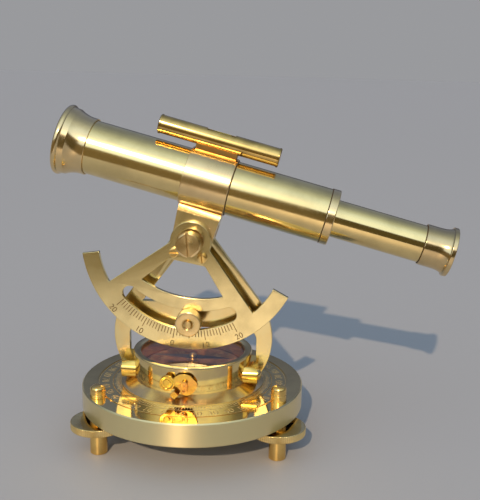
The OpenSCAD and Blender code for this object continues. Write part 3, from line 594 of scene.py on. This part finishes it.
class TELESCOPE_OT_stage(bpy.types.Operator):
    """Makes the floor, the soft light, the lamp and the camera"""
    bl_idname = "telescope.stage"
    bl_label = "Stage"

    def execute(self, context):
        stage = context.scene.telescope_stage
        for name in ("Cube", "Light", "Camera"):
            if name in bpy.data.objects:
                bpy.data.objects.remove(bpy.data.objects[name])
        # The floor is a wide sheet whose front edge is the line y = front + slope x, behind
        # the camera: point (x, front + slope x + reach t, 0), in metres.
        half, reach = 12, 14
        x, t = np.meshgrid(np.linspace(-half, half, 49), np.linspace(0, 1, 33) ** 3,
                           indexing="ij")
        grid = np.stack([x, stage.front + stage.slope * x + reach * t, 0 * x], -1) / MM
        floor = surface("floor", grid, UPRIGHT, wrap_columns=False)
        floor.data.materials.append(painted_top("laminate_table_top", tuple(stage.floor)))
        if floor.data.polygons[0].normal.z < 0:
            floor.data.flip_normals()
        self.light(stage)
        self.camera(stage)
        context.scene.view_settings.view_transform = "Standard"
        return {"FINISHED"}

    def light(self, stage):
        """A key lamp, and a world with soft light on the camera's side, a dark wall behind the
        object, and plain ground in front of the floor."""
        lamp = bpy.data.lights.new("key lamp", "SUN")
        lamp.energy = stage.power
        lamp.color = stage.lamp
        lamp.angle = math.radians(1.0)
        thing = bpy.data.objects.new("key lamp", lamp)
        thing.rotation_euler = Vector(stage.towards_lamp).to_track_quat("Z", "Y").to_euler()
        bpy.context.scene.collection.objects.link(thing)
        world = bpy.data.worlds.new("soft light")
        bpy.context.scene.world = world
        world.use_nodes = True
        tree = world.node_tree
        tree.nodes.clear()
        way = add(tree, "SeparateXYZ", {0: add(tree, "TexCoord").outputs["Generated"]})
        up, depth = way.outputs["Z"], way.outputs["Y"]

        def rise(start, end):
            """From 0 at one elevation to 1 at the other, in degrees."""
            return add(tree, "MapRange", {
                "Value": up, "From Min": math.sin(math.radians(start)),
                "From Max": math.sin(math.radians(end))}, interpolation_type="SMOOTHSTEP")

        # The soft light hangs on the camera's side, and fades overhead and behind the object.
        towards = add(tree, "MapRange", {"Value": depth, "From Min": 1.0, "From Max": -1.0})
        soft = add(tree, "ValToRGB", {0: towards})
        # A stop is a position, from behind the object to the camera's side, and its colour.
        stops = ((0.0, 0.112, 0.14, 0.22), (0.25, 0.118, 0.15, 0.225), (0.44, 0.183, 0.23, 0.285),
                 (0.6, 0.32, 0.39, 0.44), (0.75, 0.48, 0.60, 0.74), (0.88, 0.60, 0.72, 0.86),
                 (1.0, 0.60, 0.72, 0.86))
        while len(soft.color_ramp.elements) < len(stops):
            soft.color_ramp.elements.new(0.5)
        for element, (position, *tone) in zip(soft.color_ramp.elements, stops):
            element.position = position
            element.color = (*tone, 1)
        strength = 1.76
        soft = add(tree, "VectorMath", {0: soft, "Scale": strength}, operation="SCALE")
        far_wall = add(tree, "Mix", {0: rise(16, 30), 6: (*stage.wall, 1), 7: soft},
                       data_type="RGBA")
        far_wall = add(tree, "Mix", {0: rise(4.5, 7), 6: (*stage.haze, 1), 7: far_wall},
                       data_type="RGBA")
        # The ground in front of the floor is lit on the left, and in shade on the right, where
        # it also reaches higher. Its upper limit is soft, between these sines of the elevation.
        bottom, top, extra = 0.12, 0.2, 0.17
        right = add(tree, "MapRange", {"Value": way.outputs["X"], "From Min": -0.06,
                                       "From Max": 0.09}, interpolation_type="SMOOTHSTEP")
        ground = add(tree, "Mix", {0: right, 6: (*stage.ground, 1), 7: (*stage.shade, 1)},
                     data_type="RGBA")
        over = add(tree, "Math", {0: right, 1: -extra, 2: up}, operation="MULTIPLY_ADD")
        over = add(tree, "MapRange", {"Value": over, "From Min": bottom, "From Max": top},
                   interpolation_type="SMOOTHSTEP")
        near_wall = add(tree, "Mix", {0: over, 6: ground, 7: soft}, data_type="RGBA")
        near = add(tree, "MapRange", {"Value": depth, "From Min": 0.25, "From Max": -0.25},
                   interpolation_type="SMOOTHSTEP")
        tone = add(tree, "Mix", {0: near, 6: far_wall, 7: near_wall}, data_type="RGBA")
        back = add(tree, "Background", {0: tone, 1: 1.0})
        out = add(tree, "OutputWorld", {0: back})
        out.is_active_output = True

    def camera(self, stage):
        """The camera looks along f = (-sin a cos e, cos a cos e, -sin e) at the object, and is
        rolled about f."""
        a, e, roll = (math.radians(v) for v in (stage.azimuth, stage.elevation, stage.roll))
        forward = np.array([-math.sin(a) * math.cos(e), math.cos(a) * math.cos(e), -math.sin(e)])
        right = np.array([math.cos(a), math.sin(a), 0])
        up = np.cross(right, forward)
        axes = np.column_stack([
            math.cos(roll) * right + math.sin(roll) * up,
            -math.sin(roll) * right + math.cos(roll) * up, -forward])
        lens = bpy.data.cameras.new("camera")
        lens.lens = stage.lens
        lens.sensor_width = 36
        lens.clip_start = 0.01
        thing = bpy.data.objects.new("camera", lens)
        thing.matrix_world = (
            Matrix.Translation(Vector(stage.target) - Vector(forward) * stage.distance)
            @ Matrix(axes.tolist()).to_4x4())
        bpy.context.scene.collection.objects.link(thing)
        bpy.context.scene.camera = thing


class TELESCOPE_OT_base(bpy.types.Operator):
    """Finishes the round base and engraves its divided circle"""
    bl_idname = "telescope.base"
    bl_label = "Base and divided circle"

    def execute(self, context):
        colours = context.scene.telescope_colours
        _, base_r, _, top = span("base_plate", UPRIGHT)
        shade = dimmed(colours.polished, 0.86)
        # Turned and buffed on a wheel: almost a mirror, with faint rings.
        # Past the rim radius the side's colour is paled, a painted highlight.
        buffed = brass("brass_buffed_turned_plate", colours.polished, shade, 0.06, depth=0.6,
                       stretch=0.78, rim=(base_r - 0.55, 0.28))
        dress(buffed, 0, "base_plate", "azimuth_plate")
        plate_r = span("azimuth_plate", UPRIGHT)[1]
        low, high = top - SUNK, top + PROUD
        cut = engraved("brass_scribed_line", tuple(colours.scribed), 0.95)
        # A division every two degrees, longer at ten.
        start, short, long, width = plate_r + 0.4, plate_r + 2.6, plate_r + 3.4, 0.3
        k = np.arange(180)
        marks = strips("base_divisions", 2 * k, start, np.where(k % 5 == 0, long, short), width,
                       UPRIGHT, low, high)
        fit(marks, "base", "polished_brass", cut)
        # Each quadrant is counted from 0 to 90 and back, from a zero just left of the front.
        zero, figure_r, height = -98, plate_r + 7.2, 3.4
        words = [(str(90 - abs(90 - 10 * k % 180)), 10 * k + zero) for k in range(36)]
        circle = figures("base_figures", words, figure_r, 90, height, UPRIGHT, low, high)
        fit(circle, "base", "polished_brass", cut)
        # Three scribed circles, of which the outer two enclose the figures.
        line = 0.1
        for number, r in enumerate((plate_r + 0.3, plate_r + 3.9, plate_r + 10.2), 1):
            ring = lathe(f"base_circle_{number}", oblong(r - line, r + line, low, high), sides=240)
            fit(ring, "base", "polished_brass", cut)
        return {"FINISHED"}


class TELESCOPE_OT_levelling(bpy.types.Operator):
    """Makes the three levelling screws with their knurled knobs and domed stems"""
    bl_idname = "telescope.levelling"
    bl_label = "Levelling screws"

    def execute(self, context):
        colours = context.scene.telescope_colours
        turned = context.scene.telescope_turned
        shade = dimmed(colours.golden, 0.8)
        # Buffed bright after knurling: the flat faces are mirrors.
        bright = brass("brass_buffed_knob", colours.polished, shade, 0.09, None, depth=0.6)
        # Turned to a dome with a form tool, which leaves fine rings and a satin face.
        domed = brass("brass_turned_stem", colours.golden, shade, 0.22, None, depth=5.0,
                      pitch=0.35, stretch=0.5)
        gap, bore_r, bore_h = 0.03, 1.97, 2.7
        groove, groove_below_top = 0.12, 3.9
        for i, place in enumerate(SCREWS, 1):
            bore, r, bottom, high = span(f"levelling_knob_{i}", place)
            # A gap over the foot's shoulder lets the screw turn freely.
            low = bottom + gap
            profile = rounded([(bore, low), (r, low, 0.5), (r, high, 0.5), (bore, high)], 4)
            piece = lathe(f"knurled_knob_{i}", profile, place, teeth=turned.knob_teeth,
                          depth=turned.knurl_depth)
            fit(piece, f"screw_{i}", "satin_brass", bright, f"levelling_knob_{i}")
            _, r, _, high = span(f"levelling_stem_{i}", place)
            # Upwards from the bore: a shallow groove round the stem, then the dome.
            z = high - groove_below_top
            profile = rounded([
                (0, low + bore_h), (bore_r, low + bore_h), (bore_r, low), (r, low),
                (r, z - 0.2, 0.05), (r - groove, z - 0.1, 0.05), (r - groove, z + 0.1, 0.05),
                (r, z + 0.2, 0.05), (r, high - 0.9, 1.3), (r - 1.5, high - 0.05, 1.0),
                (0, high)], 6)
            piece = lathe(f"domed_stem_{i}", profile, place, sides=96, closed=False)
            fit(piece, f"screw_{i}", "polished_brass", domed, f"levelling_stem_{i}")
            foot = brass(f"brass_turned_foot_{i}", colours.golden, shade, 0.2, place, depth=4.0)
            dress(foot, 0.15, f"foot_post_{i}")
        return {"FINISHED"}


class TELESCOPE_OT_compass(bpy.types.Operator):
    """Finishes the compass: its box, bezel, card, needle, glass and lock"""
    bl_idname = "telescope.compass"
    bl_label = "Compass"

    def execute(self, context):
        colours = context.scene.telescope_colours
        turned = context.scene.telescope_turned
        shade = dimmed(colours.satin, 0.84)
        # Turned, then polished with fine paste: clear reflections and fine rings.
        box = brass("brass_polished_turned_box", colours.polished, shade, 0.08, depth=1.0,
                    stretch=0.3)
        # Left as it was turned, with a plain satin face that takes the colour of the sky.
        cone = brass("brass_satin_turned_cone", colours.satin, shade, 0.22, depth=2.5,
                     stretch=0.2)
        dress(cone, 0, "compass_seat_ring")
        dress(box, 0.12, "compass_box", "compass_bezel")
        hidden = brass("brass_plain_turned", colours.satin, shade, 0.3)
        dress(hidden, 0, "spindle", "spindle_nut", "needle_pin", "needle_lifter", "needle_cap")
        dress(needle_steel("steel_blued_ground", tuple(colours.steel)), 0, "spindle_washer")
        card = copper_card("copper_oxidised_card", tuple(colours.card))
        dress(card, 0, "compass_card")
        self.divide(colours)
        low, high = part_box("compass_needle")
        half, wide = (high.x - low.x) / 2 / MM, (high.y - low.y) / 2 / MM
        base, thick = low.z / MM, (high.z - low.z) / MM
        # A lozenge with a ridge: (L u, W (1 - |u|) v, height falling with |v|).
        u, v = np.meshgrid(np.linspace(-1, 1, 33), np.linspace(-1, 1, 9), indexing="ij")
        wings = wide * (1 - np.abs(u)) * v
        rise = 0.5 * thick * (1 - 0.75 * np.abs(v)) * np.minimum(1, 6 * (1 - np.abs(u)))
        upper = np.stack([half * u, wings, base + thick / 2 + rise], -1)
        lower = np.stack([half * u, wings, base + thick / 2 - rise], -1)
        loop = np.concatenate([upper, lower[:, ::-1]], 1)
        needle = surface("ridged_needle", loop, UPRIGHT)
        fit(needle, "needle", "steel", needle_steel("steel_blued_needle", tuple(colours.steel)),
            "compass_needle")
        _, r, bottom, top = span("compass_glass", UPRIGHT)
        dome = turned.glass_dome
        # The upper face is part of a sphere: height falls with the square of the radius.
        rr = np.linspace(r - 0.3, 0, 14)
        upper = np.column_stack([rr, top + dome * (1 - (rr / r) ** 2)])
        profile = np.concatenate([[(0, bottom), (r - 0.15, bottom), (r, bottom + 0.15),
                                   (r, top - 0.1)], upper])
        glass = lathe("domed_glass", profile, closed=False)
        fit(glass, "head", "compass_glass", clear("glass_ground_compass", (0.98, 0.93, 0.87),
                                                  1.45), "compass_glass")
        # Filed and polished by hand along its length.
        lock = brass("brass_filed_lever", colours.gilded, colours.braze, 0.14,
                     place_on(LOCK[:3, 3], ACROSS, FRONT), grain="along", stretch=0.3)
        dress(lock, 0.2, "lock_lever")
        dress(lock, 0.1, "lock_pin")
        return {"FINISHED"}

    def divide(self, colours):
        """Divisions and figures near the rim of the card, every 2 and 30 degrees."""
        _, r, _, top = span("compass_card", UPRIGHT)
        low, high, width = top - 0.03, top + 0.01, 0.16
        cut = engraved("brass_bright_card_line", tuple(colours.card_line))
        k = np.arange(180)
        inner = r - np.where(k % 15 == 0, 4.2, np.where(k % 5 == 0, 3.2, 2.2))
        marks = strips("card_divisions", 2 * k, inner, r - 0.8, width, UPRIGHT, low, high)
        fit(marks, "head", "card", cut)
        north, figure_r, height = 90, r - 6.2, 2.2
        words = [(str(30 * k), north - 30 * k) for k in range(12)]
        circle = figures("card_figures", words, figure_r, -90, height, UPRIGHT, low, high)
        fit(circle, "head", "card", cut)


class TELESCOPE_OT_yoke(bpy.types.Operator):
    """Finishes the yoke, its lugs, the pivot and the clamp"""
    bl_idname = "telescope.yoke"
    bl_label = "Yoke, pivot and clamp"

    def execute(self, context):
        colours = context.scene.telescope_colours
        turned = context.scene.telescope_turned
        shade = dimmed(colours.polished, 0.85)
        # Cut from plate and brushed up and down with emery: long fine scratches.
        # Painted shade: the yoke's brass is dimmed, standing in for the shade behind the arc.
        shaded_plate = dimmed(colours.plate, 0.86)
        plate_face = brass("brass_brushed_yoke", shaded_plate, shade, 0.17, grain="along", pitch=0.3,
                           depth=2.5, stretch=0.4)
        dress(plate_face, 0.25, "yoke")
        # Filed up and down by hand, and polished.
        lug = brass("brass_filed_lug", colours.golden, tuple(colours.gilded), 0.15,
                    grain="along", depth=4.0, stretch=0.3)
        dress(lug, 0.3, "lug_left", "lug_right")
        cross = brass("brass_turned_lug_screw", colours.satin, shade, 0.18,
                      place_on(middle("lug_screws") * (0, 1, 1), ACROSS, FRONT), depth=3.0)
        dress(cross, 0.15, "lug_screws")
        pivot = brass("brass_turned_pivot", colours.satin, shade, 0.24, PIVOT, depth=3.0)
        dress(pivot, 0.3, "pivot_screw", "pivot_nut")
        dress(pivot, 0.12, "pivot_washer")
        # The stud is a plain dark brown brass.
        dark = brass("brass_oiled_stud", dimmed(colours.braze, 0.4), shade, 0.28, CLAMP,
                     depth=3.0)
        dress(dark, 0.3, "clamp_stud")
        turned_face = brass("brass_turned_clamp", colours.satin, shade, 0.24, CLAMP, depth=3.0)
        dress(turned_face, 0.12, "clamp_washer")
        bore, r, low, high = span("clamp_knob", CLAMP)
        # The end face has a shallow recess round the stud.
        recess_r, floor = 2.4, high - 0.6
        profile = rounded([(bore, low), (r, low, 0.5), (r, high, 0.6), (recess_r, high, 0.25),
                           (recess_r, floor, 0.1), (bore, floor)], 4)
        knob = lathe("knurled_clamp_knob", profile, CLAMP, teeth=turned.clamp_teeth,
                     depth=turned.knurl_depth)
        fit(knob, "clamp_nut", "satin_brass", turned_face, "clamp_knob")
        return {"FINISHED"}


class TELESCOPE_OT_arc(bpy.types.Operator):
    """Makes the clinometer arc with its divisions and figures"""
    bl_idname = "telescope.arc"
    bl_label = "Clinometer arc"

    def execute(self, context):
        colours, arc = context.scene.telescope_colours, context.scene.telescope_arc
        turn = math.radians(TILT - arc.turn)
        place = place_on(PIVOT[:3, 3], FRONT, (math.cos(turn), 0, -math.sin(turn)))
        near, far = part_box("clinometer_arc")
        back, front = -far.y / MM, -near.y / MM
        # This bore is 6.05 mm in radius. That of the CAD arc is 3.05 mm.
        bore = span("pivot_screw", PIVOT)[0] + 3.05
        piece = plate("arc_plate", [
            self.outline(arc), self.window(arc), self.slot(arc),
            arc_of(0, 0, bore, 0, 352.5, 47)], place, back, front, 0.2)
        shade = dimmed(colours.plate, 0.87)
        # Milled from plate, then brushed straight across: soft bright bands.
        face = brass("brass_brushed_arc", colours.plate, shade, 0.18,
                     place_on(place[:3, 3], place[:3, 0], FRONT), grain="along", pitch=0.3,
                     stretch=0.45)
        fit(piece, "telescope", "polished_brass", face, "clinometer_arc")
        screws = brass("brass_turned_arc_screw", colours.golden, shade, 0.22,
                       place_on(place[:3, 3], ACROSS, FRONT), grain="along", stretch=0.2)
        dress(screws, 0.12, "arc_screws")
        cut = engraved("brass_engraved_line", tuple(colours.cut), 0.4)
        low, high, width = front - SUNK, front + PROUD, 0.34
        # Twenty divisions on each side of a zero straight down.
        zero, k = -90, np.arange(-20, 21)
        start = arc.slot_mid + arc.slot_width / 2 + 0.4
        length = np.where(k % 10 == 0, 4.6, np.where(k % 5 == 0, 3.7, 3.0))
        marks = strips("arc_divisions", k * arc.step + zero, start, start + length, width, place,
                       low, high)
        fit(marks, "telescope", "polished_brass", cut)
        words = [(str(abs(k)), k * arc.step + zero) for k in range(-20, 21, 10)]
        dial = figures("arc_figures", words, arc.radius - 2.1, 90, arc.figure, place, low, high)
        fit(dial, "telescope", "polished_brass", cut)
        return {"FINISHED"}

    def down(self, r, angle):
        """The point at radius r and angle from straight down, (r sin a, -r cos a)."""
        a = math.radians(angle)
        return (r * math.sin(a), -r * math.cos(a))

    def outline(self, arc):
        """The hub's circle, a straight arm to the notch, the horn and the rim, and their mirror
        image."""
        inner = arc.radius - arc.horn
        arm_from = -12
        hub = arc_of(0, 0, arc.hub, 90, arm_from, 24)
        horn = arc_of(0, 0, inner, arc.notch - 90, arc.half - 90, 12)
        rim = arc_of(0, 0, arc.radius, arc.half - 90, -90, 90)
        right = np.concatenate([hub, horn, rim])
        left = right[-2:0:-1] * (-1, 1)
        return np.concatenate([right, left])

    def window(self, arc):
        """A window with straight sides between the arms and a shallow arc as its lower side."""
        # The lower side is round a centre cy over the pivot, and leaves a bar over the slot. The
        # right side runs from top to low, points in mm from the pivot.
        bar, cy = 5.9, 20
        r = arc.slot_mid - arc.slot_width / 2 - bar + cy
        top, low = np.array([8.3, -9.4]), np.array([24.5, -28.1])
        way = (low - top) / np.linalg.norm(low - top)
        gap = top - (0, cy)
        # The side meets the circle where |gap + t way| = r.
        b = np.dot(gap, way)
        t = -b + math.sqrt(b * b - np.dot(gap, gap) + r * r)
        corner = top + t * way
        half = math.degrees(math.asin(corner[0] / r))
        under = arc_of(0, cy, r, half - 90, -half - 90, 40)
        points = np.concatenate([[(-top[0], top[1]), tuple(top)], under])
        cuts = np.zeros(len(points))
        cuts[:2] = 0.8
        return rounded(np.column_stack([points, cuts]).tolist(), 4)

    def slot(self, arc):
        """A slot whose lower edge is round the pivot and whose upper edge is flatter. Its ends
        are arcs of 160 degrees."""
        low = arc.slot_mid + arc.slot_width / 2
        top = arc.slot_mid - arc.slot_width / 2 + arc.slot_rise
        half = math.radians(arc.slot_half)
        end = -arc.slot_rise * math.cos(half) + math.sqrt(
            top ** 2 - (arc.slot_rise * math.sin(half)) ** 2)
        middle_r, end_r = (end + low) / 2, (low - end) / 2
        right = self.down(middle_r, arc.slot_half)
        top_half = math.degrees(math.asin(end * math.sin(half) / top))
        return np.concatenate([
            arc_of(0, 0, low, -90 - arc.slot_half, arc.slot_half - 90, 64),
            arc_of(*right, end_r, arc.slot_half - 80, arc.slot_half + 80, 20),
            arc_of(0, arc.slot_rise, top, top_half - 90, -90 - top_half, 56),
            arc_of(-right[0], right[1], end_r, 100 - arc.slot_half, 260 - arc.slot_half, 20)])


class TELESCOPE_OT_telescope(bpy.types.Operator):
    """Finishes the telescope: its tubes, cap, eyepiece, lenses and lug"""
    bl_idname = "telescope.telescope"
    bl_label = "Telescope"

    def execute(self, context):
        colours = context.scene.telescope_colours
        turned = context.scene.telescope_turned
        shade = dimmed(colours.tube, 0.87)
        drawn = {"about": TUBE, "grain": "along", "pitch": 0.5, "depth": 1.5, "stretch": 0.35}
        tube_in, tube_r, front, back = span("main_tube", TUBE)
        # Drawn through a die and polished along its length: long straight streaks.
        dress(brass("brass_drawn_tube", colours.tube, shade, 0.13,
                    blacked=(tube_in + tube_r) / 2, **drawn), 0, "main_tube")
        draw_in, draw_r = span("draw_tube", TUBE)[:2]
        dress(brass("brass_drawn_slide", colours.tube, shade, 0.1,
                    blacked=(draw_in + draw_r) / 2, **drawn), 0, "draw_tube")
        rosy = dimmed(colours.satin, 0.87)
        inner, outer, start, end = span("strap_collar", TUBE)
        band = rounded([(inner, start), (outer, start, 0.35), (outer, end, 0.35), (inner, end)])
        fit(lathe("rolled_collar", band, TUBE), "telescope", "polished_brass",
            brass("brass_rolled_collar", colours.satin, rosy, 0.24, TUBE, depth=2.5,
                  stretch=0.4), "strap_collar")
        self.residue("collar_seam", tube_r, end, -0.45, outer - tube_r - 0.3)
        # Turned to a satin face: fine rings that spread a highlight along the tube.
        satin = brass("brass_satin_turned_fitting", colours.satin, rosy, 0.17, TUBE, depth=3.0,
                      blacked=tube_in - 1.7)
        inner, outer, start, end = span("tube_end_ring", TUBE)
        seat = tube_in - 0.02
        ring = rounded([(inner, start), (seat, start), (seat, back), (outer, back, 0.3),
                        (outer, end, 0.5), (inner, end)])
        fit(lathe("turned_end_ring", ring, TUBE), "telescope", "satin_brass", satin,
            "tube_end_ring")
        self.residue("ring_seam", tube_r, back, 0.4, 0.28)
        dark = brass("brass_blacked_ring", colours.satin, rosy, 0.4, TUBE,
                     blacked=tube_in + 0.5)
        dress(dark, 0, "lens_retaining_ring", "draw_tube_guide", "draw_stop_ring", "reticle_ring")
        self.cap(turned, satin, tube_r, front)
        dull = dimmed(colours.satin, 0.74)
        self.eye(brass("brass_satin_turned_eyepiece", dull, rosy, 0.16, TUBE, depth=3.0,
                       blacked=5.5), draw_r, draw_in)
        dress(clear("glass_polished_lens", (0.93, 0.97, 0.98), 1.52), 0, "objective_lens",
              "eye_lens", "field_lens")
        # Filed along the tube, then brazed. The upper edge is reddened partly by the torch and
        # partly by a painted reflection of the collar.
        lug = brass("brass_brushed_brazed_lug", colours.plate, rosy, 0.23,
                    place_on(PIVOT[:3, 3], TUBE_LINE, FRONT), grain="along", pitch=0.35,
                    depth=3.5, stretch=0.4, braze_and_reflection_from=(tuple(TUBE[:3, 0]), 12.6, 1.6))
        dress(lug, 0.3, "tube_lug")
        return {"FINISHED"}

    def residue(self, name, r, z, length, height, body="telescope"):
        """Dark polish packed into the corner where two turned parts meet, with painted shade
        there: a triangle (r, z), (r + height, z), (r, z - length), turned about the tube's axis."""
        corner = np.array([(r - 0.05, z), (r + height, z), (r - 0.05, z - length)])
        colour = tuple(bpy.context.scene.telescope_colours.residue)
        fit(lathe(name, corner, TUBE), body, "satin_brass",
            engraved("polish_residue", colour, 0.2))

    def cap(self, turned, satin, tube_r, tube_front):
        """The objective cap: a sleeve, a flare that is part of a circle, and a rounded bead."""
        bore, bead_r, mouth, joint = span("objective_cap", TUBE)
        # Inside, a lip in front of the tube's end keeps the cap from sliding further on.
        wall, play, plain, lip = 0.7, 0.02, 1.5, 1.4
        sleeve_in, sleeve_r = tube_r + play, tube_r + wall
        flare = arc_of(sleeve_r + turned.flare_r, joint - plain, turned.flare_r, 180, 210, 24)
        bead = arc_of(bead_r - turned.bead, mouth + 1.9, turned.bead, 60, -100, 20)
        profile = np.concatenate([
            rounded([(sleeve_in, joint), (sleeve_r, joint, 0.25), tuple(flare[0])], 4)[:-1],
            flare, bead, [(bead_r - 1.9, mouth + 0.6), (bore, tube_front - lip),
                          (bore, tube_front), (sleeve_in, tube_front)]])
        fit(lathe("flared_cap", profile, TUBE), "telescope", "satin_brass", satin,
            "objective_cap")

    def eye(self, satin, draw_r, draw_in):
        """The eyepiece: a sleeve, a barrel that opens with the cube of its length, and a flange
        with a hollow for the eye."""
        bore, flange, z0, z1 = span("eyepiece", TUBE)
        neck, inner = draw_r + 0.8, draw_in - 0.6
        sleeve, flange_t, cup, cup_depth = 5, 1.9, bore + 2.0, 2.6
        k = np.linspace(0, 1, 14)
        waist = np.column_stack([neck + k ** 3, z0 + sleeve + (z1 - z0 - sleeve - 2) * k])
        profile = np.concatenate([
            rounded([(inner, z0), (neck, z0, 0.2), (neck, z0 + sleeve)], 4), waist[1:],
            rounded([(flange, z1 - flange_t, 0.2), (flange, z1, 0.35), (cup, z1, 0.15),
                     (bore, z1 - 2.0), (bore, z1 - cup_depth), (inner, z1 - cup_depth)], 4)])
        fit(lathe("waisted_eyepiece", profile, TUBE, sides=160), "draw", "satin_brass", satin,
            "eyepiece")
        self.residue("eyepiece_seam", draw_r, z0, 0.4, 0.5, "draw")


class TELESCOPE_OT_level(bpy.types.Operator):
    """Finishes the level and fills its vial"""
    bl_idname = "telescope.level"
    bl_label = "Level"

    def execute(self, context):
        colours = context.scene.telescope_colours
        shade = dimmed(colours.golden, 0.6)
        dull = dimmed(colours.golden, 0.88)
        # Drawn tube with a bright polish.
        dress(brass("brass_drawn_level_case", dull, shade, 0.12, LEVEL, grain="along", depth=1.5,
                    stretch=0.3), 0, "level_case")
        dress(brass("brass_turned_level_cap", shade, shade, 0.16, LEVEL), 0, "level_end_caps")
        # Painted shade: the saddle's colours are halved, standing in for the shade under the level
        # case.
        dark, shaded_braze = dimmed(colours.golden, 0.5), dimmed(colours.braze, 0.5)
        dress(brass("brass_soldered_saddle", dark, shaded_braze, 0.3, LEVEL, grain="along", depth=5.0,
                    stretch=0.2), 0.3, "level_saddle")
        _, r, low, high = span("level_vial", LEVEL)
        bend = 1.2
        end = arc_of(0, 0, bend, -90, 0, 8)
        profile = np.concatenate([
            [(0, low)], end + (r - bend, low + bend),
            (end * (1, -1))[::-1] + (r - bend, high - bend), [(0, high)]])
        spirit = clear("glass_vial_with_spirit", tuple(colours.spirit), 1.42)
        fit(lathe("filled_vial", profile, LEVEL, sides=64, closed=False), "telescope",
            "vial_glass", spirit, "level_vial")
        # The bubble lies along the top of the bore: an ellipsoid that the glass flattens.
        tall, wide, long, flat, below = 1.1, 1.9, 4.6, 0.6, 1.15
        t = np.radians(np.linspace(0, 180, 33))[:, None]
        a = np.radians(np.linspace(0, 360, 33)[:-1])[None]
        x = np.minimum(tall * np.sin(t) * np.cos(a), flat) + r - below
        grid = np.stack([x, wide * np.sin(t) * np.sin(a), long * np.cos(t) + 0 * a], -1)
        bubble = surface("vial_bubble", grid, LEVEL)
        fit(bubble, "telescope", "vial_glass", clear("air_in_spirit", (0.98, 0.98, 0.98), 0.71))
        lacquer = engraved("lacquer_vial_mark", tuple(colours.vial_mark))
        thick, half, apart = 0.03, 0.2, 5.2
        for number, z in enumerate((-apart, apart), 1):
            band = oblong(r - thick, r + thick, z - half, z + half)
            ring = lathe(f"vial_mark_{number}", band, LEVEL, sides=64)
            fit(ring, "telescope", "vial_glass", lacquer)
        return {"FINISHED"}


class TELESCOPE_PT_panel(bpy.types.Panel):
    """Buttons for the pieces, and the settings"""
    bl_label = "Telescope"
    bl_idname = "TELESCOPE_PT_panel"
    bl_space_type = "VIEW_3D"
    bl_region_type = "UI"
    bl_category = "Telescope"

    def draw(self, context):
        layout = self.layout
        for operator in OPERATORS:
            layout.operator(operator.bl_idname)
        for group, kind in GROUPS.items():
            box = layout.box()
            for name in kind.__annotations__:
                box.prop(getattr(context.scene, group), name)


GROUPS = {
    "telescope_colours": BrassColours, "telescope_turned": TurnedSizes,
    "telescope_arc": ArcSizes, "telescope_stage": StageSizes}
OPERATORS = (
    TELESCOPE_OT_stage, TELESCOPE_OT_base, TELESCOPE_OT_levelling, TELESCOPE_OT_compass,
    TELESCOPE_OT_yoke, TELESCOPE_OT_arc, TELESCOPE_OT_telescope, TELESCOPE_OT_level)


def register():
    """Registers the groups, the operators and the panel."""
    for kind in (*GROUPS.values(), *OPERATORS, TELESCOPE_PT_panel):
        bpy.utils.register_class(kind)
    for name, kind in GROUPS.items():
        setattr(bpy.types.Scene, name, PointerProperty(type=kind))


def unregister():
    """Takes them out again."""
    for name in GROUPS:
        delattr(bpy.types.Scene, name)
    for kind in reversed((*GROUPS.values(), *OPERATORS, TELESCOPE_PT_panel)):
        bpy.utils.unregister_class(kind)


def main():
    """Makes every piece in order."""
    register()
    bpy.ops.telescope.stage()
    bpy.ops.telescope.base()
    bpy.ops.telescope.levelling()
    bpy.ops.telescope.compass()
    bpy.ops.telescope.yoke()
    bpy.ops.telescope.arc()
    bpy.ops.telescope.telescope()
    bpy.ops.telescope.level()


if __name__ == "__main__":
    main()
